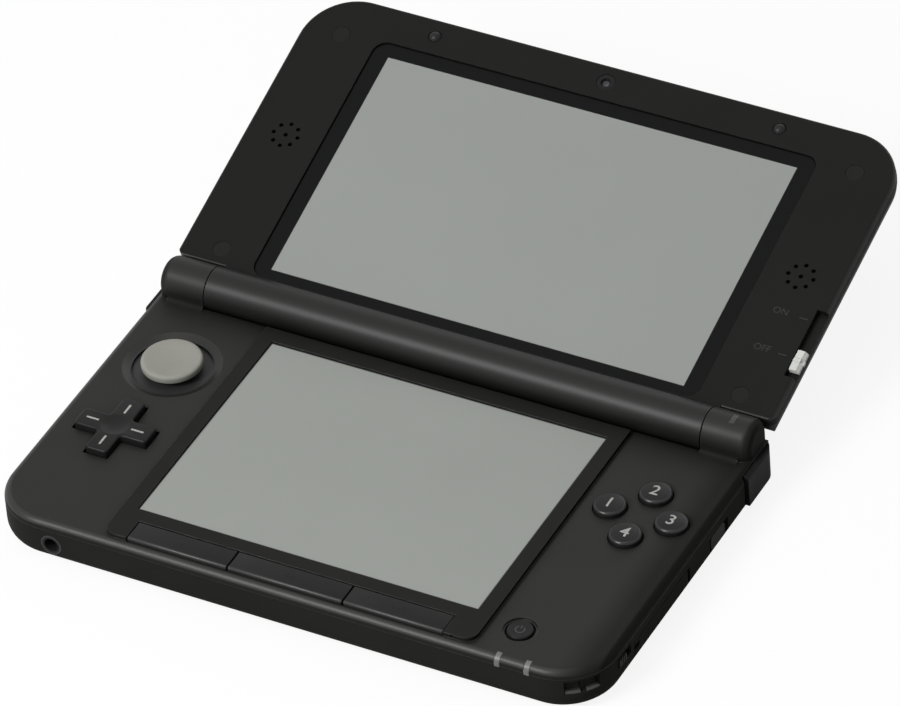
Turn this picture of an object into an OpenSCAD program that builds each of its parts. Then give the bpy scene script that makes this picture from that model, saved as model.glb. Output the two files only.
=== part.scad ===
// Clamshell handheld game console, open on a table.
// Millimetres. +X is to the player's right, +Y goes from the player to the hinge, +Z is up.
// The origin is on the flat underside, on the middle line, a front_y behind the front face.

/* [Base] */
// Overall width of the base
base_w = 156; // [154:0.5:158]
// Distance from the origin forward to the front face
front_y = 46.5; // [46:0.5:47]
// Height of the deck round the controls
deck_z = 11.8; // [11.6:0.1:12]
// Plan radius of the two front corners
corner_r = 13.6; // [12:0.2:14.4]
// Radius of the long edge under the base
bottom_r = 4.4; // [4:0.1:5]
// Rounding of the deck's outer edge
rim_r = 1.9; // [1.6:0.1:1.9]
// Height of the raised panel round the lower screen, above the deck
panel_rise = 1.1; // [0.9:0.1:1.2]
// Width of that raised panel
panel_w = 95; // [94.4:0.2:95.6]

/* [Lower screen] */
// Width of the touch window
touch_w = 87.5; // [87:0.1:88]
// Depth of the touch window
touch_d = 64.6; // [64.2:0.1:65]

/* [Controls] */
// Diameter of the circle pad's cap
pad_d = 14.7; // [14:0.1:15.2]
// Span of the direction pad across two arms
cross_span = 19; // [18.4:0.1:19.2]
// Width of each of its arms
cross_arm = 5.8; // [5.4:0.1:6]
// Diameter of each face button
button_d = 7.8; // [7.4:0.1:8]
// Distance of each face button from the middle of the four
button_ring = 7.8; // [7.6:0.1:8]

/* [Lid] */
// Width of the lid
lid_w = 156; // [154:0.2:156]
// Distance from the hinge axis to the lid's far edge
lid_reach = 87.2; // [86.6:0.2:87.4]
// Thickness of the lid
lid_t = 8.6; // [8.4:0.1:9]
// Radius of the hinge barrel
barrel_r = 5.3; // [5.2:0.05:5.35]
// How far the lid is opened from closed, in degrees
lid_open = 163.2; // [155:0.1:165]
// Width of the upper screen's visible area
view_w = 108.4; // [108:0.1:109]
// Height of the upper screen's visible area
view_d = 65; // [64.6:0.1:65.2]

/* [Stylus] */
// Length of the stylus
stylus_len = 91; // [88:0.5:91]
// Radius of the stylus
stylus_r = 1.8; // [1.7:0.05:1.8]

/* [Hidden] */
$fn = 64;

// Common
gap = 0.3;              // free space round pieces that move
fit = 0.05;             // radial clearance of a pin in its bore
over = 1;               // how far a cutter runs past a face

// Base shell
back_y = 46;            // rear face
back_r = 2.5;           // plan radius of the rear corners
part_z = 9.6;           // joint between the deck shell and the lower case
wall = 1.6;             // side walls
deck_t = 1.2;           // deck thickness
deck_under = deck_z - deck_t;
floor_z = 2;            // top of the lower case's floor
panel_top = deck_z + panel_rise;
panel_back = 34.5;      // rear edge of the raised panel
panel_front = -44.5;    // its front edge
panel_corner = 3;       // plan radius of its front corners
inner_w = base_w - 2 * wall;

// Lower screen
touch_y = -2.2;         // middle of the window
touch_z = 12.5;         // its surface
touch_t = 0.8;          // thickness of the touch panel
touch_lip = 1.3;        // how far the panel's edge runs under the deck shell
display_z = touch_z - touch_t;
display_t = 1.8;
display_w = 92;
display_d = 68;
tray_z = display_z - display_t;
tray_t = 0.5;
board_z = 7;            // underside of the main board
board_t = 0.8;
board_top = board_z + board_t;

// Menu keys, in the bar in front of the lower screen
key_ends = [-41.1, -15.3, 14.3, 39.8];
key_back = -38.5;
key_front = -44.4;
key_gap = 0.2;

// Circle pad
pad_x = -61.9;
pad_y = 14.7;
pad_hole_r = 9.7;
pad_ring_r = 11.9;      // soft cone round the hole: at the deck, at its foot, and its depth
pad_ring_low_r = 10.1;
pad_ring_deep = 0.8;
pad_skirt_r = 12.2;
pad_top = 13.8;

// Direction pad
cross_x = -62.6;
cross_y = -11.2;
cross_top = 13.5;
cross_flange_r = 10.6;
ball_r = 0.85;
ball_z = 9.15;

// Face buttons
buttons_x = 62.5;
buttons_y = 9.5;
button_top = 13.5;
button_bottom = 9.5;
button_gap = 0.25;      // gap round each in its hole
button_flange = 0.7;    // width of the rim that holds it under the deck
flange_t = 0.8;

// Power button
power_x = 54.9;
power_y = -35.8;
power_d = 6.2;
power_hole_d = 7.1;

// Hinge
hinge_y = 40.6;
hinge_z = 14.3;
seam_x = 64.9;          // where the barrel meets each knuckle
seam_gap = 0.25;
knuckle_end = 77.1;
knuckle_edge = 2.4;     // rounding of its outer end
knuckle_foot = 1.4;     // curve between its front and the deck
knuckle_cap = 1.6;      // wall that closes its bore
knuckle_bore = 3.25;
trough_r = 5.7;
trough_skin = 0.55;     // wall under the barrel
notice_x = 71.2;        // notification light, on the right knuckle
notice_w = 1.3;
notice_d = 3.1;
notice_t = 0.95;

// Lid, in its own frame: y from the hinge axis outward, z along the inner face's normal
lid_tilt = 180 - lid_open;
face_n = 0.4;           // inner face
back_n = face_n - lid_t;
lid_near = 6.1;         // near edge outside the barrel
lid_corner = 13.6;
lid_edge_r = 6;
lid_rim_r = 0.9;
lid_near_r = 2.5;
lid_split = -2.6;       // joint between frame and cover
lid_wall = 1.5;
panel_under = -1.4;     // underside of the inner panel
lens_top = -0.1;
lens_t = 0.5;
lens_w = 116.4;
lens_near = 6.4;
lens_far = 77.2;
view_s = 41.3;          // middle of the upper screen
slider_s = 23.4;        // the depth slider's middle at rest
slider_slot = [18.6, 37.8];
slider_x = 75.3;        // inner side of its channel
slider_floor = -1.1;    // floor of its channel
slider_tongue = 0.6;    // tongue that runs in a groove of the channel's inner wall
speaker_x = 67.7;
speaker_s = 45.2;
top_row_s = 82.3;       // camera and bumpers
bumper_x = 45.5;
bumper_r = 1.5;
cap_r = 2.2;
cap_places = [[67.8, 76.1], [-67.8, 76.1], [67.8, 10.6], [-67.8, 10.6]];
outer_cam_x = 17.5;
outer_cam_s = 74;
ribbon_x = [-47.1, -42.7]; // edges of the ribbon that crosses the hinge
ribbon_low = -4.95;     // bottom of its passage
bush_r = 2.6;           // sleeve in the barrel's left end
shaft_r = 1.9;          // shaft in its right end
pin_in = 12;            // how far both go into the barrel

// Right side
stylus_y = 17.5;
stylus_z = 4.75;
stylus_end = 77.7;
tail_w = 7.2;
tail_t = 3.6;
tail_len = 9;
tube_r = 2.2;
recess_w = 9.4;
door_y = [-25.5, 1.5];
door_z = [3.6, 7.4];
door_t = 1.3;
memory_x = 43.6;        // inner end of the memory card
memory_len = 30;
card_bay_z = [2.4, 5.9]; // bottom and top of its socket
door_pin_x = 77.15;
door_pin_r = 0.45;
switch_y = -31.5;       // wireless switch
switch_z = 7.4;
switch_len = 3.2;
switch_travel = 2.5;
nub_h = 2;              // height of a slide switch's thumb piece
nub_slot = 2.4;         // height of its slot

// Left side
volume_y = 6;
volume_z = 6.4;
volume_len = 4.4;
volume_travel = 4;

// Front
jack_x = -60.5;
jack_z = 5.6;
jack_r = 1.8;
jack_ring_r = 2.75;
jack_depth = 14;
jack_body = 9.2;        // width of its housing
light_x = [54.3, 61.7];
light_w = 1.4;
light_in = wall + 0.6;  // depth of a light's slot, from the front face
light_under = 0.4;      // how far it goes below the shells' joint
mic_x = 42;             // microphone's sound hole, right of the menu keys
mic_in = 1.6;
mic_hole_r = 0.4;

// Back
card_x = -33;
card_w = 33.6;
card_h = 4.6;
card_z = 2.8;
card_front = 10;        // blind end of the card's space
card_back = 43.4;       // rear end of its socket
bay_half = 19;          // half the width of the floor and rear wall piece that frames the card
socket_skin = 0.6;
charge_x = 22;
charge_w = 8;
charge_h = 2.6;
infrared_x = 46;
infrared_w = 10;
infrared_h = 3;
port_z = 5.2;
contact_x = 6.5;        // middle of the two cradle contacts
contact_step = 3;       // each one's distance from that middle
contact_w = 2;
contact_h = 4.6;
contact_z = 4.7;

// Shoulder buttons
shoulder_in = 65.3;     // inner end, along the rear face
shoulder_front = 31.9;  // front end, along the side
shoulder_z = [2.6, 9.2];
shoulder_proud = 0.7;
shoulder_corner_r = 5;  // plan radius of its corner
shoulder_skin_x = 76.7; // inner face of its upper skin
shoulder_skin_z = 11;   // top of that skin
shoulder_room = 1.1;    // room inside the skin for its travel
shoulder_pin = [67.2, 42.6];
shoulder_pin_r = 0.8;

// Bottom
cover_w = 132;
cover_d = 72;
cover_y = -2;
cover_t = 1;
cover_corner = 6;
battery_w = 50;
battery_d = 40;
battery_x = -19;
battery_y = -16;
battery_top = 6.8;
cover_screw_x = 50;
cover_screw_y = -34;
screw_places = [[68, -34], [-71.5, -27.5], [58.5, 31.7], [-58.5, 31.7]];
screw_r = 0.8;
boss_r = 2;

// A rectangle with round corners, centred
module round_rect(w, d, r) {
    square([w - 2 * r, d], center = true);
    square([w, d - 2 * r], center = true);
    for (x = [-1, 1], y = [-1, 1])
        translate([x * (w / 2 - r), y * (d / 2 - r)]) circle(r);
}

// A flat plate with round corners, standing on z = 0
module plate(w, d, h, r) {
    linear_extrude(h) round_rect(w, d, r);
}

// A box given by its low and high corners
module block(low, high) {
    translate(low) cube(high - low);
}

// Section through a rounded edge: reach out from the axis, h tall
module edge_slice(reach, h, r_top, r_bottom) {
    translate([0, r_bottom]) square([reach, h - r_top - r_bottom]);
    translate([0, h - r_top]) square([reach - r_top, r_top]);
    square([reach - r_bottom, r_bottom]);
    intersection() {
        translate([reach - r_bottom, r_bottom]) circle(r_bottom);
        translate([reach - r_bottom, 0]) square(r_bottom);
    }
    intersection() {
        translate([reach - r_top, h - r_top]) circle(r_top);
        translate([reach - r_top, h - r_top]) square(r_top);
    }
}

// The same section on both sides, len across
module edge_pair(len, h, r_top, r_bottom) {
    for (side = [0, 1]) mirror([side, 0]) edge_slice(len / 2, h, r_top, r_bottom);
}

// A case body with edges rounded all round: large corners at y0, small ones at y1
module case_body(w, y0, y1, h, big_r, small_r, r_top, r_bottom) {
    intersection() {
        union() {
            for (side = [-1, 1])
                translate([side * (w / 2 - big_r), y0 + big_r, 0])
                    rotate_extrude() edge_slice(big_r, h, r_top, r_bottom);
            intersection() {
                translate([0, (y0 + y1) / 2, 0])
                    rotate([90, 0, 90])
                        linear_extrude(w, center = true) edge_pair(y1 - y0, h, r_top, r_bottom);
                union() {
                    translate([0, (y0 + big_r + y1) / 2, 0])
                        rotate([90, 0, 0])
                            linear_extrude(y1 - y0 - big_r, center = true)
                                edge_pair(w, h, r_top, r_bottom);
                    block([-(w / 2 - big_r), y0, 0], [w / 2 - big_r, y0 + big_r + over, h]);
                }
            }
        }
        linear_extrude(h) {
            translate([-w / 2, y0]) square([w, y1 - y0 - small_r]);
            translate([-w / 2 + small_r, y0]) square([w - 2 * small_r, y1 - y0]);
            for (side = [-1, 1]) translate([side * (w / 2 - small_r), y1 - small_r]) circle(small_r);
        }
    }
}

// A cylinder lying along X from x0 to x1 at the hinge axis
module on_hinge(x0, x1, r) {
    translate([x0, hinge_y, hinge_z]) rotate([0, 90, 0]) cylinder(x1 - x0, r, r);
}

// A cylinder along Y from y0 to y1
module along_y(x, z, y0, y1, r) {
    translate([x, y1, z]) rotate([90, 0, 0]) cylinder(y1 - y0, r, r);
}

// A screw pointing up, its head's underside at z = 0
module screw(head_r, head_t, shank_r, shank_len) {
    difference() {
        union() {
            translate([0, 0, -head_t]) cylinder(head_t, head_r, head_r);
            cylinder(shank_len, shank_r, shank_r);
        }
        for (turn = [0, 90])
            rotate([0, 0, turn]) translate([0, 0, -head_t]) cube([head_r * 1.2, 0.4, 0.8], center = true);
    }
}

// Puts a piece drawn in the lid's own frame at its place on the open lid
module on_lid() {
    translate([0, hinge_y, hinge_z]) rotate([lid_tilt, 0, 0]) children();
}

// The whole base, solid
module base_body(proud = 0) {
    case_body(base_w + 2 * proud, -front_y - proud, back_y + proud, deck_z,
        corner_r, back_r, rim_r, bottom_r);
}

// The space inside it
module base_space() {
    translate([0, 0, floor_z])
        case_body(inner_w, -front_y + wall, back_y - wall, part_z - floor_z + over,
            corner_r - wall, back_r, 0.5, bottom_r - wall);
}

// The cylinder of one knuckle, with its rounded outer edge
module knuckle_round(side) {
    translate([side * seam_x, hinge_y, hinge_z])
        rotate([0, side * 90, 0])
            rotate_extrude() edge_slice(barrel_r, knuckle_end - seam_x, knuckle_edge, 0.01);
}

// One outer knuckle of the base with its upright front and its curved foot
module knuckle(side) {
    front = hinge_y - barrel_r;
    flat_end = knuckle_end - knuckle_edge;
    intersection() {
        knuckle_round(side);
        block([-base_w, 0, part_z], [base_w, base_w, 2 * hinge_z]);
    }
    mirror([side < 0 ? 1 : 0, 0, 0]) {
        // upright part, its outer corners rounded as the cylinder's end is
        translate([0, 0, part_z]) linear_extrude(hinge_z - part_z) {
            translate([seam_x, front]) square([flat_end - seam_x, 2 * barrel_r]);
            translate([seam_x, front + knuckle_edge])
                square([knuckle_end - seam_x, 2 * (barrel_r - knuckle_edge)]);
            for (end = [-1, 1])
                translate([flat_end, hinge_y + end * (barrel_r - knuckle_edge)]) circle(knuckle_edge);
        }
        difference() {
            block([seam_x, front - knuckle_foot, deck_z - 0.2],
                [flat_end - 0.3, front + over, deck_z + knuckle_foot]);
            translate([seam_x - over, front - knuckle_foot, deck_z + knuckle_foot])
                rotate([0, 90, 0]) cylinder(knuckle_end, knuckle_foot, knuckle_foot);
        }
    }
}

// The raised panel that frames the lower screen
module raised_panel(low) {
    len = panel_back - panel_front;
    translate([0, (panel_back + panel_front) / 2, low])
        linear_extrude(panel_top - low) {
            difference() {
                square([panel_w, len], center = true);
                for (side = [-1, 1])
                    translate([side * (panel_w - panel_corner) / 2, -(len - panel_corner) / 2])
                        square(panel_corner, center = true);
            }
            for (side = [-1, 1])
                translate([side * (panel_w / 2 - panel_corner), -len / 2 + panel_corner])
                    circle(panel_corner);
        }
}

// A plus-shaped prism
module cross(span, arm, low, high) {
    translate([cross_x, cross_y, low])
        linear_extrude(high - low) {
            square([span, arm], center = true);
            square([arm, span], center = true);
        }
}

// Middle of a face button, by its turn round the four
function button_at(turn) =
    [buttons_x + button_ring * cos(turn), buttons_y + button_ring * sin(turn)];

// The room that the barrel, and the lid's neck behind it, need in the base
module hinge_trough() {
    on_hinge(-seam_x, seam_x, trough_r);
    block([-seam_x, hinge_y, part_z - 0.6], [seam_x, back_y + over, hinge_z + 2 * barrel_r]);
}

// A rectangular pocket round the lower screen, between two heights
module pocket(w, d, low, high) {
    translate([0, touch_y, low]) linear_extrude(high - low) square([w, d], center = true);
}

// Slot of one indicator light in the front edge, smaller by less all round
module light_slot(x, low, high, less) {
    half = light_w / 2 - less;
    block([x - half, -front_y - over, low], [x + half, -front_y + light_in - less, high]);
}

// The notification light's prism in the right knuckle, grown all round
module notice_prism(grow) {
    translate([notice_x, hinge_y, hinge_z + barrel_r - notice_t - grow])
        linear_extrude(2) square([notice_w + 2 * grow, notice_d + 2 * grow], center = true);
}

module deck_shell() {
    power_ring = 0.45;
    color("#34353a") difference() {
        union() {
            intersection() {
                base_body();
                block([-base_w, -base_w, part_z], [base_w, base_w, deck_z + over]);
            }
            raised_panel(deck_z - 0.5);
            for (side = [-1, 1]) knuckle(side);
            for (p = screw_places)
                translate([p[0], p[1], floor_z + 2.2])
                    cylinder(deck_under - floor_z - 2, boss_r, boss_r);
        }
        // hollow under the deck
        difference() {
            translate([0, 0, part_z - over])
                case_body(inner_w, -front_y + wall, 34, deck_under - part_z + over,
                    corner_r - wall, back_r, 0.3, 0.3);
            for (p = screw_places)
                translate([p[0], p[1], 0]) cylinder(deck_z, boss_r, boss_r);
        }
        hinge_trough();
        for (side = [-1, 1])
            mirror([side < 0 ? 1 : 0, 0, 0])
                on_hinge(seam_x - over, knuckle_end - knuckle_cap, knuckle_bore);
        // lower screen: window, then the pockets of the touch panel and the display
        pocket(touch_w, touch_d, touch_z - over, touch_z + over);
        pocket(touch_w + 2 * touch_lip + 0.4, touch_d + 2 * touch_lip + 0.4, part_z, touch_z);
        pocket(display_w + 0.6, display_d + 0.6, part_z - over, display_z);
        // menu keys
        block([key_ends[0] - key_gap, key_front - key_gap / 2, part_z],
            [key_ends[3] + key_gap, key_back + key_gap, panel_top + over]);
        // circle pad
        translate([pad_x, pad_y, 0]) cylinder(deck_z + over, pad_hole_r, pad_hole_r);
        translate([pad_x, pad_y, deck_z - pad_ring_deep])
            cylinder(2 * pad_ring_deep, pad_ring_low_r, 2 * pad_ring_r - pad_ring_low_r);
        cross(cross_span + 0.8, cross_arm + 0.8, part_z, deck_z + over);
        for (turn = [0:90:270])
            translate([button_at(turn)[0], button_at(turn)[1], part_z])
                cylinder(deck_z, button_d / 2 + button_gap, button_d / 2 + button_gap);
        translate([power_x, power_y, part_z]) cylinder(deck_z, power_hole_d / 2, power_hole_d / 2);
        translate([power_x, power_y, deck_z - power_ring])
            cylinder(over, power_hole_d / 2 + power_ring, power_hole_d / 2 + power_ring);
        for (x = light_x) light_slot(x, part_z - over, deck_z + over, 0);
        // microphone's sound hole in the front of the bar
        along_y(mic_x, deck_z + 0.5, panel_front - over, panel_front + mic_in, mic_hole_r);
        translate([mic_x, panel_front + mic_in, part_z])
            cylinder(deck_z + 0.6 - part_z, mic_hole_r + 0.1, mic_hole_r + 0.1);
        // light window on the right knuckle
        notice_prism(0.05);
        // room for the upper skin of the shoulder buttons
        for (side = [0, 1]) mirror([side, 0, 0]) shoulder_skin(false);
        for (p = screw_places)
            translate([p[0], p[1], floor_z]) cylinder(deck_under - floor_z, screw_r + fit, screw_r + fit);
    }
}

// The corner of the base that a shoulder button fills, for the right side
module shoulder_corner(grow) {
    block([shoulder_in - grow, shoulder_front - 3 * grow, shoulder_z[0] - grow],
        [base_w, back_y + 5, shoulder_z[1] + grow]);
}

// The thin part of it that reaches up beside the deck, or the room it moves in
module shoulder_skin(solid) {
    slack = solid ? 0 : gap;
    block([shoulder_skin_x - (solid ? 0 : shoulder_room), shoulder_front - 3 * slack, part_z - over],
        [base_w, back_y + 5, shoulder_skin_z + slack]);
}

// A box through the rear wall at one port, deep into the case and out past its face
module rear_port(x, z, w, h, deep, out) {
    block([x - w / 2, back_y - deep, z - h / 2], [x + w / 2, back_y + out, z + h / 2]);
}

// Place of the card's bay in the floor and rear wall, with a space round it
module bay_block(space) {
    block([card_x - bay_half - space, card_front - 2 - space, -over],
        [card_x + bay_half + space, back_y - wall, card_z + card_h + 0.2]);
    block([card_x - bay_half - space, back_y - wall - space, -over],
        [card_x + bay_half + space, back_y + over, part_z + over]);
}

// Room for the game card's socket in floor and wall
module socket_seat() {
    block([card_x - card_w / 2 - socket_skin - fit, back_y - 12, card_z - socket_skin - fit],
        [card_x + card_w / 2 + socket_skin + fit, card_back + fit, card_z + card_h + socket_skin]);
}

// Recess of the battery cover in the underside
module cover_recess() {
    translate([0, cover_y, -over])
        plate(cover_w + 0.4, cover_d + 0.4, cover_t + fit + over, cover_corner);
}

module lower_case() {
    strap_r = corner_r - 2.6;
    strap_z = [5.3, 9];
    color("#2b2c30") difference() {
        union() {
            difference() {
                intersection() {
                    base_body();
                    block([-base_w, -base_w, 0], [base_w, base_w, part_z]);
                }
                base_space();
            }
            // ledge round the battery
            translate([battery_x, battery_y, floor_z - 0.5])
                difference() {
                    plate(battery_w + 3, battery_d + 3, 2.5, 1);
                    translate([0, 0, -over]) plate(battery_w + 1, battery_d + 1, 5, 0.6);
                }
            // bosses that the case screws pass through
            for (p = screw_places)
                translate([p[0], p[1], floor_z - 0.5]) cylinder(2.6, boss_r + 1, boss_r + 1);
            for (side = [-1, 1])
                translate([side * cover_screw_x, cover_screw_y, floor_z - 0.5]) cylinder(3.5, 2.2, 2.2);
            // curved wall under the barrel
            intersection() {
                on_hinge(-seam_x - 0.4, seam_x + 0.4, trough_r + trough_skin);
                block([-base_w, hinge_y - trough_r - 1, floor_z], [base_w, back_y - 0.5, part_z]);
            }
            // wall behind the strap's loop
            intersection() {
                base_body();
                translate([base_w / 2 - corner_r, -front_y + corner_r, strap_z[0] - 1.2])
                    rotate([0, 0, -75]) rotate_extrude(angle = 60)
                        translate([strap_r - 1.2, 0]) square([3, part_z - strap_z[0] + 1.2]);
            }
        }
        hinge_trough();
        cover_recess();
        translate([battery_x, battery_y, -over]) plate(battery_w + 1, battery_d + 1, floor_z + 2 * over, 0.6);
        for (side = [-1, 1])
            translate([side * cover_screw_x, cover_screw_y, 0]) cylinder(4.5, 0.95, 0.95);
        for (p = screw_places) {
            translate([p[0], p[1], -over]) cylinder(floor_z + over, 1.9, 1.9);
            translate([p[0], p[1], -over]) cylinder(part_z, screw_r + 0.15, screw_r + 0.15);
        }
        // headphone jack
        along_y(jack_x, jack_z, -front_y - over, -front_y + 4, jack_ring_r + 0.1);
        // strap loop: a curved slot with a pillar left in its middle
        translate([base_w / 2 - corner_r, -front_y + corner_r, strap_z[0]])
            difference() {
                rotate([0, 0, -64]) rotate_extrude(angle = 37)
                    translate([strap_r, 0]) square([5, strap_z[1] - strap_z[0]]);
                // the cord's pillar, set back from the face
                rotate([0, 0, -47.5]) rotate_extrude(angle = 5)
                    translate([strap_r - over, -over]) square([over + 1.4, strap_z[1]]);
            }
        bay_block(fit);
        socket_seat();
        // charging jack, infrared window and cradle contacts
        rear_port(charge_x, port_z, charge_w + 0.2, charge_h + 0.2, 4, over);
        rear_port(infrared_x, port_z, infrared_w + 0.2, infrared_h + 0.2, 4, over);
        for (side = [-1, 1])
            rear_port(contact_x + side * contact_step, contact_z, contact_w + 0.2, contact_h + 0.4,
                4, over);
        // stylus: recess round its tail
        block([base_w / 2 - tail_len - 1.6, stylus_y - recess_w / 2, stylus_z - tail_t / 2 - gap],
            [base_w / 2 + over, stylus_y + recess_w / 2, stylus_z + tail_t / 2 + 0.5]);
        // memory card door
        block([base_w / 2 - 3.4, door_y[0], door_z[0]], [base_w / 2 + over, door_y[1] + 1.2, door_z[1]]);
        translate([door_pin_x, door_y[1], door_z[0] - 0.6])
            cylinder(door_z[1] - door_z[0] + 1.2, door_pin_r + fit, door_pin_r + fit);
        // wireless switch and volume slots
        block([base_w / 2 - 3, switch_y - switch_len / 2 - gap, switch_z - nub_slot / 2],
            [base_w / 2 + over, switch_y + switch_len / 2 + gap + switch_travel, switch_z + nub_slot / 2]);
        block([-base_w / 2 - over, volume_y - volume_len / 2 - gap - volume_travel, volume_z - nub_slot / 2],
            [-base_w / 2 + 3, volume_y + volume_len / 2 + gap + volume_travel, volume_z + nub_slot / 2]);
        // shoulder buttons
        for (side = [0, 1]) mirror([side, 0, 0]) {
            shoulder_corner(gap);
            shoulder_skin(false);
            translate([shoulder_pin[0], shoulder_pin[1], shoulder_z[0] - 1])
                cylinder(2, shoulder_pin_r, shoulder_pin_r);
        }
        for (x = light_x) light_slot(x, part_z - light_under, part_z + over, 0);
    }
}

module battery_cover() {
    color("#2a2b2e") difference() {
        translate([0, cover_y, 0]) plate(cover_w, cover_d, cover_t, cover_corner - 0.2);
        for (side = [-1, 1])
            translate([side * cover_screw_x, cover_screw_y, -over]) {
                cylinder(over + 0.6, 1.9, 1.9);
                cylinder(3, 1.1, 1.1);
            }
        // finger grooves along the rear edge
        for (x = [-12:4:12])
            translate([x, cover_y + cover_d / 2 - 5, -0.5])
                linear_extrude(0.8) square([1.6, 6], center = true);
    }
}

module cover_screws() {
    color("#8d8f92") for (side = [-1, 1])
        translate([side * cover_screw_x, cover_screw_y, 0.6]) screw(1.8, 0.5, 0.85, 3);
}

module case_screws() {
    color("#8d8f92") for (p = screw_places)
        translate([p[0], p[1], floor_z]) screw(1.75, 0.8, screw_r, 6.5);
}

module touch_panel() {
    color("#9da19d") translate([0, touch_y, touch_z - touch_t])
        plate(touch_w + 2 * touch_lip, touch_d + 2 * touch_lip, touch_t, 0.6);
}

module lower_display() {
    color("#7e8280") {
        translate([0, touch_y, tray_z]) plate(display_w, display_d, display_t, 0.6);
        // connector tail folded under the tray's rear edge
        tail_y = touch_y + display_d / 2;
        block([20, tail_y - 0.2, tray_z + 0.4], [38, tail_y + 0.25, tray_z + 0.9]);
    }
}

module display_frame() {
    color("#a9abad") difference() {
        translate([0, touch_y, tray_z - tray_t]) plate(display_w, display_d, tray_t, 0.6);
        for (x = [-30:15:30])
            translate([x, touch_y, tray_z - over]) linear_extrude(2 * over) square([9, 40], center = true);
    }
}

module main_board() {
    // processor, memory and power chips: place, width and depth of each
    chips = [[22, -8, 14, 14], [-4, -10, 10, 14], [22, 14, 12, 9], [-26, -24, 9, 9], [38, -26, 8, 6]];
    chip_t = 1;
    radio_t = 0.7;
    radio_can_t = 0.8;
    color("#1e5b3c") difference() {
        union() {
            translate([0, -3, board_z]) plate(98, 68, board_t, 2);
            // wings under the buttons and under the pads
            translate([buttons_x - 0.5, 11, board_z]) plate(26, 36, board_t, 2);
            // radio module beside the shoulder button
            translate([60, 25.8, board_top - 0.1]) {
                plate(15, 5.6, radio_t, 0.6);
                plate(12, 4.4, radio_t + radio_can_t, 0.4);
            }
            translate([pad_x + 0.9, 1, board_z]) plate(24, 52, board_t, 2);
            for (c = chips) translate([c[0], c[1], board_top - 0.1]) plate(c[2], c[3], chip_t + 0.1, 0.4);
        }
        translate([card_x, (card_front + back_y) / 2 - 2, board_z - over])
            plate(card_w + 3, back_y - card_front + 2, 4, 1);
        // notch behind the headphone jack
        block([jack_x - 9.5, -30, board_z - over], [jack_x + 8.5, -25, board_top + over]);
        for (p = screw_places)
            translate([p[0], p[1], board_z - over]) cylinder(4, boss_r + gap, boss_r + gap);
    }
}

module battery() {
    color("#3a3c44") translate([battery_x, battery_y, cover_t + 0.15])
        plate(battery_w, battery_d, battery_top - cover_t - 0.15, 2);
}

module circle_pad_base() {
    rail_z = board_top;
    color("#1d1d1f") translate([pad_x, pad_y, rail_z]) {
        plate(20.4, 20.4, 0.4, 2);
        // rails that guide the slider along X
        for (side = [-1, 1]) translate([0, side * 9.2, 0]) plate(20.4, 1.6, 1.35, 0.3);
    }
}

module circle_pad_slider() {
    color("#c9cacc") translate([pad_x, pad_y, board_top + 0.6])
        difference() {
            plate(14, 16.2, 0.75, 1);
            translate([0, 0, -over]) plate(4.3, 9.4, 3, 0.4);
        }
}

module circle_pad_cap() {
    cap_low = 11.95;
    skirt_z = 9.55;
    neck_r = 4.4;
    dish_r = 30;
    dish = 0.45;
    stem_z = board_top + 0.65;
    color("#96968e") translate([pad_x, pad_y, 0]) {
        difference() {
            union() {
                // cap with its rounded rim, on its neck
                translate([0, 0, cap_low])
                    rotate_extrude() edge_slice(pad_d / 2, pad_top - cap_low, 0.75, 0.3);
                translate([0, 0, skirt_z]) cylinder(cap_low - skirt_z + 0.2, neck_r, neck_r);
            }
            // shallow dish in the top
            translate([0, 0, pad_top + dish_r - dish]) sphere(dish_r);
        }
        // skirt that closes the opening, and the stem that rides in the slider
        translate([0, 0, skirt_z]) cylinder(0.8, pad_skirt_r, pad_skirt_r);
        translate([0, 0, stem_z]) plate(4, 4, skirt_z - stem_z + 0.3, 0.4);
    }
}

module dpad_membrane() {
    color("#6d6f72") {
        translate([cross_x, cross_y, board_top]) plate(22, 24, 0.4, 3);
    }
}

module dpad_pivot() {
    color("#d0d0cc") translate([cross_x, cross_y, ball_z]) sphere(ball_r);
}

module dpad() {
    edge = 0.5;
    mark = 0.15;
    color("#2f3034") difference() {
        union() {
            cross(cross_span, cross_arm, 9.3, cross_top - edge);
            cross(cross_span - 2 * edge, cross_arm - 2 * edge, cross_top - edge - 0.1, cross_top);
            for (turn = [0, 90])
                translate([cross_x, cross_y, 0]) rotate([0, 0, turn]) {
                    // rounded long edges of each arm
                    for (side = [-1, 1])
                        translate([0, side * (cross_arm / 2 - edge), cross_top - edge])
                            rotate([0, 90, 0]) cylinder(cross_span - 2 * edge, edge, edge, center = true);
                    for (side = [-1, 1])
                        translate([side * (cross_span / 2 - edge), 0, cross_top - edge])
                            rotate([90, 0, 0]) cylinder(cross_arm - 2 * edge, edge, edge, center = true);
                }
            for (sx = [-1, 1], sy = [-1, 1], pick = [0, 1])
                translate([cross_x + sx * (pick ? cross_span : cross_arm) / 2 - sx * edge,
                    cross_y + sy * (pick ? cross_arm : cross_span) / 2 - sy * edge, cross_top - edge])
                    sphere(edge);
            translate([cross_x, cross_y, 9.2]) cylinder(0.65, cross_flange_r, cross_flange_r);
        }
        // dished middle
        translate([cross_x, cross_y, cross_top + 12 - 0.5]) sphere(12);
        // socket of the pivot ball
        translate([cross_x, cross_y, ball_z]) sphere(ball_r + fit);
        // marks on the arms
        for (turn = [0:90:270])
            translate([cross_x, cross_y, cross_top - mark]) rotate([0, 0, turn])
                translate([5.4, 0, 0]) linear_extrude(over) square([3.4, 0.45], center = true);
    }
}

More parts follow.
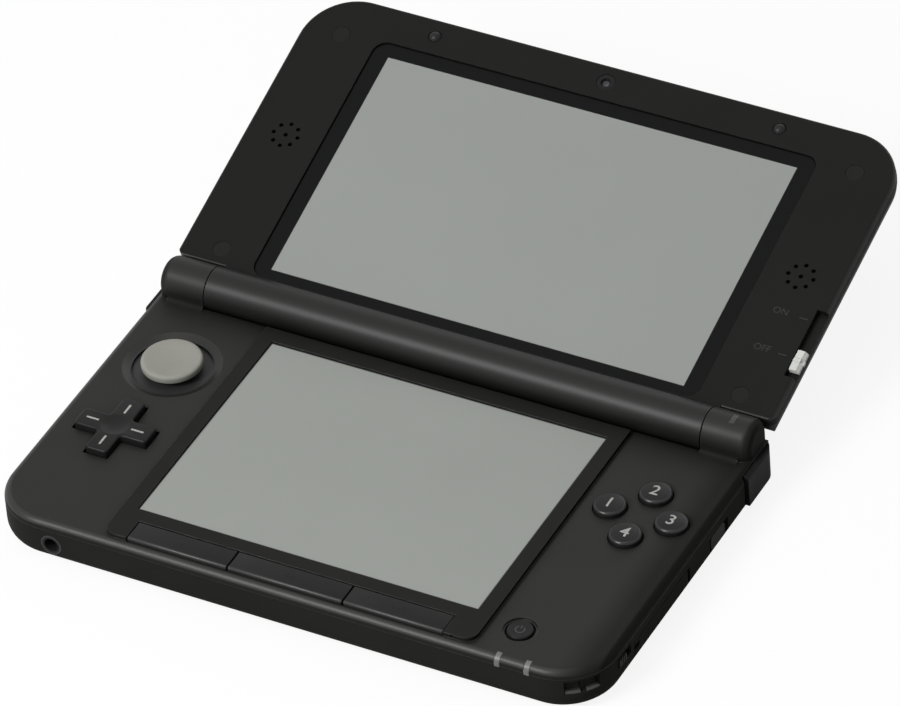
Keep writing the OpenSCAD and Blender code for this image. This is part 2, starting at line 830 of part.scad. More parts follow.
module button_membrane() {
    collar = 0.9;
    color("#6d6f72") {
        translate([buttons_x, buttons_y, board_top]) plate(25, 25, 0.4, 4);
        for (turn = [0:90:270])
            translate([button_at(turn)[0], button_at(turn)[1], board_top + 0.3])
                difference() {
                    cylinder(collar, 5.35, 5.35);
                    translate([0, 0, -over]) cylinder(3, 4.95, 4.95);
                }
    }
}

module face_button(turn) {
    edge = 0.9;
    color("#2f3034") translate([button_at(turn)[0], button_at(turn)[1], button_bottom]) {
        cylinder(flange_t, button_d / 2 + button_flange, button_d / 2 + button_flange);
        rotate_extrude() edge_slice(button_d / 2, button_top - button_bottom, edge, 0.01);
    }
}

module face_button_left() { face_button(180); }
module face_button_top() { face_button(90); }
module face_button_right() { face_button(0); }
module face_button_bottom() { face_button(270); }

module menu_key_switches() {
    strip_t = 0.5;
    color("#24624a") translate([0, -39.5, board_top]) {
        plate(84, 5, strip_t, 1);
        // one dome switch under each key
        for (i = [0:2])
            translate([(key_ends[i] + key_ends[i + 1]) / 2, -1, strip_t - 0.1]) plate(3.4, 3, 0.9, 0.4);
    }
}

// A menu key, by its place from the left
module menu_key(i) {
    edge = 0.35;
    tab = 1.3;
    x0 = key_ends[i] + (i == 0 ? 0 : key_gap);
    x1 = key_ends[i + 1] - (i == 2 ? 0 : key_gap);
    low = 9.9;
    color("#303135") {
        translate([(x0 + x1) / 2, (key_back + key_front) / 2, low])
            rotate([90, 0, 90]) linear_extrude(x1 - x0, center = true)
                edge_pair(key_back - key_front, panel_top - low, edge, 0.2);
        block([x0 + 3, key_back - 0.5, low], [x1 - 3, key_back + tab, low + 0.5]);
    }
}

module menu_key_left() { menu_key(0); }
module menu_key_middle() { menu_key(1); }
module menu_key_right() { menu_key(2); }

module power_button() {
    low = 9.8;
    color("#2f3034") translate([power_x, power_y, low]) {
        cylinder(0.7, power_hole_d / 2 + 0.6, power_hole_d / 2 + 0.6);
        rotate_extrude() edge_slice(power_d / 2, deck_z + 0.1 - low, 0.4, 0.01);
    }
}

module card_bay() {
    color("#2b2c30") difference() {
        intersection() {
            base_body();
            bay_block(0);
            block([-base_w, -base_w, 0], [base_w, base_w, part_z]);
        }
        base_space();
        hinge_trough();
        cover_recess();
        socket_seat();
        // the card's mouth
        block([card_x - card_w / 2, back_y - 4, card_z],
            [card_x + card_w / 2, back_y + over, card_z + card_h]);
    }
}

module game_card_socket() {
    skin = socket_skin;
    color("#b4b5b7") difference() {
        block([card_x - card_w / 2 - skin, card_front - skin, card_z - skin],
            [card_x + card_w / 2 + skin, card_back, card_z + card_h + skin]);
        block([card_x - card_w / 2, card_front, card_z],
            [card_x + card_w / 2, back_y + over, card_z + card_h]);
    }
}

module memory_card_socket() {
    skin = 0.4;
    slot_x = memory_x - 0.6;
    color("#b4b5b7") difference() {
        block([slot_x, door_y[0] + 1, card_bay_z[0]], [slot_x + memory_len, door_y[1] - 1, card_bay_z[1]]);
        block([slot_x + skin, door_y[0] + 1 + skin, card_bay_z[0] + skin],
            [base_w / 2, door_y[1] - 1 - skin, card_bay_z[1] - skin]);
    }
}

module memory_card() {
    card_t = 2.1;
    color("#25262a") block([memory_x, door_y[0] + 1.6, card_bay_z[0] + 0.6],
        [memory_x + memory_len, door_y[1] - 1.6, card_bay_z[0] + 0.6 + card_t]);
}

module memory_card_door() {
    color("#2b2c30") {
        difference() {
            intersection() {
                base_body();
                block([base_w / 2 - 4, door_y[0] + 0.25, door_z[0] + 0.2],
                    [base_w, door_y[1], door_z[1] - 0.2]);
            }
            block([0, door_y[0] - over, 0], [base_w / 2 - 2 * door_t + 0.5, door_y[1] + over, deck_z]);
            // nail notch at the front end
            block([base_w / 2 - 0.6, door_y[0] + 0.2, 5], [base_w, door_y[0] + 2.6, 6.4]);
        }
        translate([door_pin_x, door_y[1], door_z[0] - 0.4])
            cylinder(door_z[1] - door_z[0] + 0.8, door_pin_r, door_pin_r);
        translate([door_pin_x, door_y[1], door_z[0] + 0.2])
            cylinder(door_z[1] - door_z[0] - 0.4, 0.75, 0.75);
    }
}

module headphone_jack() {
    color("#18181a") difference() {
        union() {
            block([jack_x - jack_body / 2, -front_y + wall + 2.6, jack_z - jack_ring_r],
                [jack_x + jack_body / 2, -front_y + jack_depth + 1.5, jack_z + jack_ring_r]);
            along_y(jack_x, jack_z, -front_y, -front_y + 5, jack_ring_r);
        }
        along_y(jack_x, jack_z, -front_y - over, -front_y + jack_depth, jack_r);
    }
}

module charging_jack() {
    skin = 0.5;
    color("#b9babc") difference() {
        rear_port(charge_x, port_z, charge_w, charge_h, 9, -0.2);
        rear_port(charge_x, port_z, charge_w - 2 * skin, charge_h - 2 * skin, 7, over);
    }
    // tongue that carries the contacts
    color("#e0c070") rear_port(charge_x, port_z, charge_w - 2.8, 0.4, 7.5, -1.4);
}

module infrared_window() {
    color("#1c0d10") intersection() {
        base_body();
        rear_port(infrared_x, port_z, infrared_w, infrared_h, 2.2, over);
    }
}

module cradle_contacts() {
    color("#d8b24c") for (side = [-1, 1])
        intersection() {
            base_body();
            rear_port(contact_x + side * contact_step, contact_z, contact_w, contact_h, 3, over);
        }
}

module volume_board() {
    board_x = -base_w / 2 + 4;
    thick = 0.8;
    color("#24624a") {
        block([board_x, volume_y - 8, 3], [board_x + thick, volume_y + 8, 6.8]);
        // its slide potentiometer
        block([board_x + thick - 0.1, volume_y - 5, 3.6], [board_x + 3, volume_y + 5, 6.4]);
    }
}

// The thumb piece of a slide switch: a ridged nub on a plate behind the wall
module slide_nub(len, h, stick_out) {
    inside = -3.3;
    ridge_cut = 0.25;
    difference() {
        union() {
            block([inside, -len / 2, -h / 2], [stick_out, len / 2, h / 2]);
            block([inside, -len / 2 - 0.8, -h / 2 - 0.7], [inside + 1, len / 2 + 0.8, h / 2 + 0.7]);
        }
        for (y = [-len / 4, 0, len / 4])
            block([stick_out - ridge_cut, y - 0.2, -h], [stick_out + over, y + 0.2, h]);
    }
}

module volume_slider() {
    color("#2f3034") translate([-base_w / 2, volume_y, volume_z])
        mirror([1, 0, 0]) slide_nub(volume_len, nub_h, 0.7);
}

module wireless_switch() {
    color("#2f3034") translate([base_w / 2, switch_y, switch_z]) slide_nub(switch_len, nub_h, 0.4);
}

module indicator_lights() {
    color("#c8ccc0") for (x = light_x)
        intersection() {
            base_body();
            light_slot(x, part_z - light_under + fit, deck_z, fit);
        }
}

module notification_light() {
    color("#c8ccc0") intersection() {
        knuckle_round(1);
        notice_prism(0);
    }
}

module microphone() {
    capsule_r = 1.8;
    color("#8f9092") translate([mic_x + 1.5, panel_front + 2.1, part_z - 1.2])
        cylinder(mic_in, capsule_r, capsule_r);
}

module hinge_click_unit() {
    color("#9a9c9f") {
        on_hinge(seam_x + seam_gap, knuckle_end - knuckle_cap - 0.6, knuckle_bore - fit);
        on_hinge(seam_x - pin_in, seam_x + over, shaft_r);
    }
}

module hinge_bush() {
    cable_r = 1.6;
    color("#9a9c9f") difference() {
        union() {
            on_hinge(-knuckle_end + knuckle_cap + 0.6, -seam_x - seam_gap, knuckle_bore - fit);
            on_hinge(-seam_x - over, -seam_x + pin_in, bush_r);
        }
        on_hinge(-knuckle_end, -seam_x + 2 * pin_in, cable_r);
    }
}

module shoulder_pins() {
    color("#a8aaac") for (side = [-1, 1])
        translate([side * shoulder_pin[0], shoulder_pin[1], shoulder_z[0] - 1])
            cylinder(part_z - shoulder_z[0] + 1, shoulder_pin_r, shoulder_pin_r);
}

module shoulder_button(side) {
    thick = 2.2;
    hub_r = 1.8;
    reach = shoulder_proud;
    color("#2b2c30") mirror([side < 0 ? 1 : 0, 0, 0]) difference() {
        union() {
            difference() {
                intersection() {
                    case_body(base_w + 2 * reach, -front_y, back_y + reach, deck_z, corner_r,
                        shoulder_corner_r, rim_r, bottom_r - 2.6);
                    union() {
                        shoulder_corner(0);
                        shoulder_skin(true);
                    }
                }
                block([0, 0, 0], [base_w / 2 - thick, back_y - thick, deck_z]);
            }
            translate([shoulder_pin[0], shoulder_pin[1], shoulder_z[0]])
                cylinder(shoulder_z[1] - shoulder_z[0], hub_r, hub_r);
        }
        translate([shoulder_pin[0], shoulder_pin[1], 0])
            cylinder(deck_z, shoulder_pin_r + fit, shoulder_pin_r + fit);
    }
}

module shoulder_button_left() { shoulder_button(-1); }
module shoulder_button_right() { shoulder_button(1); }

module stylus_tube() {
    tube_end = base_w / 2 - tail_len - 1.8;
    color("#3b3c40") difference() {
        translate([stylus_end - stylus_len - 1.2, stylus_y, stylus_z])
            rotate([0, 90, 0])
                cylinder(tube_end - stylus_end + stylus_len + 1.2, tube_r + 0.4, tube_r + 0.4);
        translate([stylus_end - stylus_len - 0.6, stylus_y, stylus_z])
            rotate([0, 90, 0]) cylinder(stylus_len, tube_r, tube_r);
        block([-base_w / 2, 0, stylus_z + 2.2], [base_w / 2, 40, deck_z]);
    }
}

module stylus() {
    tip_len = 4;
    color("#232427") {
        translate([stylus_end - stylus_len + tip_len, stylus_y, stylus_z])
            rotate([0, 90, 0]) cylinder(stylus_len - tip_len - tail_len + 0.5, stylus_r, stylus_r);
        // tapering point with a round tip
        translate([stylus_end - stylus_len + 0.6, stylus_y, stylus_z])
            rotate([0, 90, 0]) cylinder(tip_len - 0.5, 0.6, stylus_r);
        translate([stylus_end - stylus_len + 0.6, stylus_y, stylus_z]) sphere(0.6);
        // flattened tail
        translate([stylus_end - tail_len / 2, stylus_y, stylus_z])
            rotate([0, 90, 0]) linear_extrude(tail_len, center = true) round_rect(tail_t, tail_w, 1.4);
    }
}

// The whole lid in its own frame, solid, without the barrel
module lid_body() {
    translate([0, 0, back_n]) mirror([0, 1, 0])
        case_body(lid_w, -lid_reach, -lid_near, lid_t, lid_corner, lid_near_r, lid_rim_r, lid_edge_r);
}

// The space inside it
module lid_space() {
    near = lid_near + 1.4;
    low = back_n + lid_wall;
    translate([0, 0, low]) mirror([0, 1, 0])
        case_body(lid_w - 2 * lid_wall, -lid_reach + lid_wall, -near, panel_under - low,
            lid_corner - lid_wall, 2, 0.4, lid_edge_r - lid_wall);
}

// The barrel and the neck that carries the lid on it
module lid_barrel() {
    x = seam_x - seam_gap;
    translate([-x, 0, 0]) rotate([0, 90, 0]) cylinder(2 * x, barrel_r, barrel_r);
    block([-x, 0, -barrel_r], [x, lid_near + 1.2, face_n]);
}

module lid_frame() {
    hole_r = 0.55;
    ring_r = 3.2;
    color("#2c2d31") on_lid() difference() {
        union() {
            intersection() {
                union() {
                    difference() {
                        lid_body();
                        lid_space();
                    }
                    for (p = cap_places)
                        translate([p[0], p[1], lid_split]) cylinder(1.6, 3, 3);
                    // bed of the depth slider's channel
                    block([slider_x - 1.1, slider_slot[0] - 1, slider_floor - 0.4],
                        [lid_w / 2 - 0.6, slider_slot[1] + 1, panel_under + 0.2]);
                }
                block([-lid_w, 0, lid_split], [lid_w, lid_reach + over, face_n + over]);
            }
            lid_barrel();
        }
        // shallow recess of the lens and the window through it
        difference() {
            translate([0, (lens_near + lens_far) / 2, lens_top - lens_t])
                plate(lens_w + 0.4, lens_far - lens_near + 0.4, 3, 3.5);
            translate([-lid_w, 0, 0]) rotate([0, 90, 0]) cylinder(2 * lid_w, barrel_r, barrel_r);
        }
        translate([0, view_s, panel_under - over])
            linear_extrude(4) square([view_w + 2, view_d + 1.6], center = true);
        // speaker holes
        for (side = [-1, 1])
            translate([side * speaker_x, speaker_s, panel_under - over]) {
                cylinder(4, hole_r, hole_r);
                for (turn = [0:45:315])
                    rotate([0, 0, turn]) translate([ring_r, 0, 0]) cylinder(4, hole_r, hole_r);
            }
        // camera and bumpers
        translate([0, top_row_s, panel_under - over]) cylinder(4, 2.35, 2.35);
        for (side = [-1, 1])
            translate([side * bumper_x, top_row_s, -0.6]) cylinder(4, bumper_r + 0.15, bumper_r + 0.15);
        // screws under their caps
        for (p = cap_places) {
            translate([p[0], p[1], -1.3]) cylinder(4, cap_r + 0.05, cap_r + 0.05);
            translate([p[0], p[1], lid_split - over]) cylinder(4, 0.95, 0.95);
        }
        // channel of the depth slider, along the right edge
        block([slider_x, slider_slot[0], slider_floor], [lid_w, slider_slot[1], face_n + over]);
        // groove that the thumb piece's tongue runs in
        block([slider_x - slider_tongue - 0.1, slider_slot[0], slider_floor],
            [slider_x + over, slider_slot[1], slider_floor + 0.65]);
        // bores of the hinge
        translate([seam_x - pin_in - 0.5, 0, 0])
            rotate([0, 90, 0]) cylinder(2 * pin_in, shaft_r + fit, shaft_r + fit);
        translate([-seam_x - over, 0, 0])
            rotate([0, 90, 0]) cylinder(over + pin_in + 0.5, bush_r + fit, bush_r + fit);
        translate([-seam_x - over, 0, 0]) rotate([0, 90, 0]) cylinder(2 * pin_in, 1.7, 1.7);
        // passage of the ribbon from the barrel into the lid
        ribbon_passage(-0.6, 0.6, 0.2);
        ribbon_passage(-0.6, 9, ribbon_low + 0.9);
    }
}

module lid_cover() {
    boss_top = lid_split - 0.05;
    color("#2c2d31") on_lid() difference() {
        union() {
            difference() {
                intersection() {
                    lid_body();
                    block([-lid_w, 0, back_n], [lid_w, lid_reach + over, lid_split]);
                }
                lid_space();
            }
            for (p = cap_places)
                translate([p[0], p[1], back_n + 1]) cylinder(boss_top - back_n - 1, 2.2, 2.2);
        }
        lid_neck_room();
        ribbon_passage(lid_near, lid_near + 3, ribbon_low + 0.9);
        for (p = cap_places)
            translate([p[0], p[1], back_n + 2.2]) cylinder(8, 0.95, 0.95);
        for (side = [-1, 1])
            translate([side * outer_cam_x, outer_cam_s, back_n - over]) cylinder(4, 3.1, 3.1);
    }
}

// Room for the ribbon, between two distances from the hinge axis and up to a height
module ribbon_passage(from, to, high) {
    block([ribbon_x[0] - 0.5, from, ribbon_low], [ribbon_x[1] + 0.5, to, high]);
}

// Where the barrel's neck enters the lid
module lid_neck_room() {
    x = seam_x - seam_gap;
    block([-x - 0.05, 0, -barrel_r - 0.05], [x + 0.05, lid_near + 1.25, face_n]);
}

module lid_lens() {
    color("#0c0d0e") on_lid() translate([0, (lens_near + lens_far) / 2, lens_top - lens_t])
        plate(lens_w, lens_far - lens_near, lens_t, 3.3);
}

module upper_display() {
    color("#7e8280") on_lid() difference() {
        translate([0, view_s, -4]) plate(view_w + 6, view_d + 2.4, 4 + panel_under - 0.05, 0.8);
        block([-60, 0, -5], [60, lid_near + 2.1, 0]);
    }
}

module speakers() {
    color("#55575a") on_lid() for (side = [-1, 1])
        translate([side * speaker_x, speaker_s, -4]) {
            plate(14.5, 20, 2.4, 2.5);
            translate([0, 0, -1]) cylinder(1.2, 6, 6);
        }
}

module inner_camera() {
    color("#151517") on_lid() translate([0, top_row_s, 0]) difference() {
        union() {
            translate([0, -0.4, -4]) plate(7, 4, 2.6, 0.5);
            translate([0, 0, -2]) cylinder(face_n - 0.1 + 2, 2.25, 2.25);
        }
        translate([0, 0, face_n - 0.6]) cylinder(2, 1.1, 1.6);
    }
}

module outer_cameras() {
    color("#151517") on_lid() {
        for (side = [-1, 1])
            translate([side * outer_cam_x, outer_cam_s, 0]) difference() {
                union() {
                    translate([0, 0, back_n + 0.1]) cylinder(2.4, 3, 3);
                    translate([0, 0, back_n + 1.7]) plate(8, 6, 1.6, 0.5);
                }
                translate([0, 0, back_n - 0.5]) cylinder(1, 1.6, 1.6);
            }
        // carrier strip joining the two cameras
        translate([0, outer_cam_s, back_n + 2.4]) plate(2 * outer_cam_x, 5, 0.8, 0.8);
    }
}

module lid_bumpers() {
    stand = 0.85;
    dome_r = 1.7;
    color("#1f2022") on_lid() for (side = [-1, 1])
        translate([side * bumper_x, top_row_s, -0.6]) intersection() {
            cylinder(0.6 + face_n + stand, bumper_r, bumper_r);
            translate([0, 0, 0.6 + face_n + stand - dome_r]) union() {
                sphere(dome_r);
                translate([0, 0, -3]) cylinder(3, dome_r, dome_r);
            }
        }
}

module screw_caps() {
    color("#2a2b2e") on_lid() for (p = cap_places)
        translate([p[0], p[1], -0.35]) cylinder(face_n + 0.3, cap_r, cap_r);
}

module lid_screws() {
    color("#8d8f92") on_lid() for (p = cap_places)
        translate([p[0], p[1], -1.3]) rotate([180, 0, 0]) screw(1.7, 0.8, 0.85, 4.2);
}

module depth_slider() {
    len = 5.6;
    ridge = 0.35;
    color("#d6d7d4") on_lid() difference() {
        translate([0, slider_s, 0]) {
            block([slider_x + gap, -len / 2, slider_floor + 0.15], [lid_w / 2 + 0.1, len / 2, face_n]);
            // raised ridge across the middle, and the tongue
            block([slider_x + gap, -0.5, slider_floor + 0.15],
                [lid_w / 2 + ridge, 0.5, face_n + ridge / 2]);
            block([slider_x - slider_tongue, -2, slider_floor + 0.15],
                [slider_x + gap + 0.1, 2, slider_floor + 0.55]);
        }
        // outer corner eased where the thumb rests
        translate([lid_w / 2 + 0.1, slider_s, face_n]) rotate([0, 45, 0])
            cube([1.1, len + over, 1.1], center = true);
    }
}

module flex_cable() {
    ribbon = 0.3;
    roll_r = 1.2;
    roll_end = -knuckle_end + 4;
    low = ribbon_low + 0.25;
    color("#b0742c") on_lid() {
        // rolled through the hinge
        translate([roll_end, 0, 0]) rotate([0, 90, 0]) cylinder(ribbon_x[1] - roll_end, roll_r, roll_r);
        // flat from the barrel into the lid, under the display
        block([ribbon_x[0], -ribbon / 2, low], [ribbon_x[1], ribbon / 2, 0]);
        block([ribbon_x[0], -ribbon / 2, low], [ribbon_x[1], 20, low + ribbon]);
    }
}

deck_shell();
lower_case();
battery_cover();
cover_screws();
case_screws();
touch_panel();
lower_display();
display_frame();
main_board();
battery();
circle_pad_base();
dpad_membrane();
button_membrane();
menu_key_switches();
game_card_socket();
memory_card_socket();
memory_card();
card_bay();
headphone_jack();
charging_jack();
infrared_window();
cradle_contacts();
volume_board();
indicator_lights();
notification_light();
microphone();
hinge_click_unit();
hinge_bush();
shoulder_pins();
stylus_tube();
circle_pad_slider();
circle_pad_cap();
dpad_pivot();
dpad();
face_button_left();
face_button_top();
face_button_right();
face_button_bottom();
menu_key_left();
menu_key_middle();
menu_key_right();
power_button();
volume_slider();
wireless_switch();
shoulder_button_left();
shoulder_button_right();
stylus();
memory_card_door();
lid_frame();
lid_cover();
lid_lens();
upper_display();
speakers();
inner_camera();
outer_cameras();
lid_bumpers();
screw_caps();
lid_screws();
depth_slider();
flex_cable();
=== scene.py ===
import math
import bmesh
import bpy
from mathutils import Matrix, Vector


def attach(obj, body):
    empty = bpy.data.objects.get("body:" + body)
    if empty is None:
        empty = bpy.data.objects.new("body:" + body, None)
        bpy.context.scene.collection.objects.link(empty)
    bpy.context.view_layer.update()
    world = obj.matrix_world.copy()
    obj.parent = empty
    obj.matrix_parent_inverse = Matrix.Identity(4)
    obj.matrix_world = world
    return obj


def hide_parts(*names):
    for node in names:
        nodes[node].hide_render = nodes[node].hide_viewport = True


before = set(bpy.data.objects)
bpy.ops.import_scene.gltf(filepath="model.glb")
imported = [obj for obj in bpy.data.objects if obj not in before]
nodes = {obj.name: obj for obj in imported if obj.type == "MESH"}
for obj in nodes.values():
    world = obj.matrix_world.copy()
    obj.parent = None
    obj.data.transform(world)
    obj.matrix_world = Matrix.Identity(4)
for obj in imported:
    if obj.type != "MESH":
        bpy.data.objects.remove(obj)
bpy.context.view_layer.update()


# Camera. A long lens on a stand at the player's front right, looking down on the
# open console, rolled a little so that the lid leans to the left.
azimuth = math.radians(30.45)
elevation = math.radians(39.60)
roll = math.radians(-4.70)
aim = Vector((-0.003737, 0.04313, 0.0125))
distance = 2.0295
focal = 349.83
sensor_width = 36
clip_end = 20
back = Vector((math.sin(azimuth) * math.cos(elevation), -math.cos(azimuth) * math.cos(elevation),
               math.sin(elevation)))
level = Vector((math.cos(azimuth), math.sin(azimuth), 0))
upright = back.cross(level)
camera_right = level * math.cos(roll) + upright * math.sin(roll)
camera_up = upright * math.cos(roll) - level * math.sin(roll)
lens = bpy.data.cameras.new("camera")
lens.lens = focal
lens.sensor_width = sensor_width
lens.clip_end = clip_end
camera = bpy.data.objects.new("camera", lens)
camera.matrix_world = Matrix((camera_right, camera_up, back)).transposed().to_4x4()
camera.matrix_world.translation = aim + back * distance
bpy.context.collection.objects.link(camera)
bpy.context.scene.camera = camera
bpy.context.scene.view_settings.view_transform = "Standard"


# Table and studio lamps. A plain pale table top, one large softbox at the front left, weaker ones
# behind and above, and a pale room all round that is dimmer to the left and right.
table_size = 3.0
table_tone = 0.95
table_roughness = 0.9
speck_scale = 40
speck_depth = 0.01
table_bounce = 0.40
room_middle = 0.552
room_sides = 0.06
shadow_kept = 0.12

table_mesh = bpy.data.meshes.new("table_top")
half = table_size / 2
corners = [(-half, -half, 0), (half, -half, 0), (half, half, 0), (-half, half, 0)]
table_mesh.from_pydata(corners, [], [(0, 1, 2, 3)])
table = bpy.data.objects.new("table_top", table_mesh)
bpy.context.collection.objects.link(table)


def wire(tree, *pairs):
    """Joins outputs to inputs in a node tree."""
    for source, socket in pairs:
        tree.links.new(source, socket)


board = bpy.data.materials.new("pale_table")
board.use_nodes = True
tree = board.node_tree
output = tree.nodes["Material Output"]
matt = tree.nodes["Principled BSDF"]
matt.inputs["Roughness"].default_value = table_roughness
speck = tree.nodes.new("ShaderNodeTexNoise")
speck.inputs["Scale"].default_value = speck_scale
tone = tree.nodes.new("ShaderNodeMapRange")
tone.inputs["To Min"].default_value = table_tone - speck_depth
tone.inputs["To Max"].default_value = table_tone
white = tree.nodes.new("ShaderNodeEmission")
path = tree.nodes.new("ShaderNodeLightPath")
bounce = tree.nodes.new("ShaderNodeMix")
bounce.data_type = "RGBA"
bounce.inputs[7].default_value = (table_bounce, table_bounce, table_bounce, 1)
seen = tree.nodes.new("ShaderNodeMath")
seen.operation = "MULTIPLY"
seen.inputs[1].default_value = 1 - shadow_kept
blend = tree.nodes.new("ShaderNodeMixShader")
wire(tree, (speck.outputs["Fac"], tone.inputs["Value"]), (tone.outputs["Result"], bounce.inputs[6]),
     (path.outputs["Is Diffuse Ray"], bounce.inputs[0]), (bounce.outputs[2], matt.inputs["Base Color"]),
     (path.outputs["Is Camera Ray"], seen.inputs[0]), (seen.outputs[0], blend.inputs[0]),
     (matt.outputs[0], blend.inputs[1]), (white.outputs[0], blend.inputs[2]),
     (blend.outputs[0], output.inputs["Surface"]))
table_mesh.materials.append(board)


def softbox(name, direction, reach, size, power):
    """A square lamp that looks at the console from one direction."""
    lamp = bpy.data.lights.new(name, "AREA")
    lamp.shape = "SQUARE"
    lamp.size = size
    lamp.energy = power
    holder = bpy.data.objects.new(name, lamp)
    toward = Vector(direction).normalized()
    holder.location = aim + toward * reach
    holder.rotation_euler = toward.to_track_quat("Z", "Y").to_euler()
    bpy.context.collection.objects.link(holder)


softbox("front_left_softbox", (-0.31, -0.66, 0.66), 1.3, 0.48, 13)
softbox("rear_softbox", (-0.10, 0.80, 0.50), 1.8, 0.7, 2)
softbox("top_softbox", (-0.05, -0.1, 1.0), 1.7, 0.9, 3)

world = bpy.data.worlds.new("white_room")
world.use_nodes = True
tree = world.node_tree
room = tree.nodes["Background"]
room.inputs["Color"].default_value = (1, 1, 1, 1)
toward = tree.nodes.new("ShaderNodeTexCoord")
sides = tree.nodes.new("ShaderNodeSeparateXYZ")
sideways = tree.nodes.new("ShaderNodeMath")
sideways.operation = "ABSOLUTE"
dimming = tree.nodes.new("ShaderNodeMapRange")
dimming.inputs["To Min"].default_value = room_middle
dimming.inputs["To Max"].default_value = room_sides
backdrop = tree.nodes.new("ShaderNodeBackground")
backdrop.inputs["Color"].default_value = (1, 1, 1, 1)
path = tree.nodes.new("ShaderNodeLightPath")
either = tree.nodes.new("ShaderNodeMath")
either.operation = "MAXIMUM"
any_of = tree.nodes.new("ShaderNodeMath")
any_of.operation = "MAXIMUM"
blend = tree.nodes.new("ShaderNodeMixShader")
wire(tree, (toward.outputs["Generated"], sides.inputs[0]), (sides.outputs["X"], sideways.inputs[0]),
     (sideways.outputs[0], dimming.inputs["Value"]), (dimming.outputs["Result"], room.inputs["Strength"]),
     (path.outputs["Is Camera Ray"], either.inputs[0]),
     (path.outputs["Is Transmission Ray"], either.inputs[1]),
     (either.outputs[0], any_of.inputs[0]), (path.outputs["Is Glossy Ray"], any_of.inputs[1]),
     (any_of.outputs[0], blend.inputs[0]), (room.outputs[0], blend.inputs[1]),
     (backdrop.outputs[0], blend.inputs[2]),
     (blend.outputs[0], tree.nodes["World Output"].inputs["Surface"]))
bpy.context.scene.world = world


# Deck shell. The upper half of the base, with the raised frame of the lower screen and the
# two hinge knuckles, moulded in one shot of charcoal plastic with a fine spark-eroded grain.
# Its edges carry the small radius that every mould leaves.
mm = 0.001


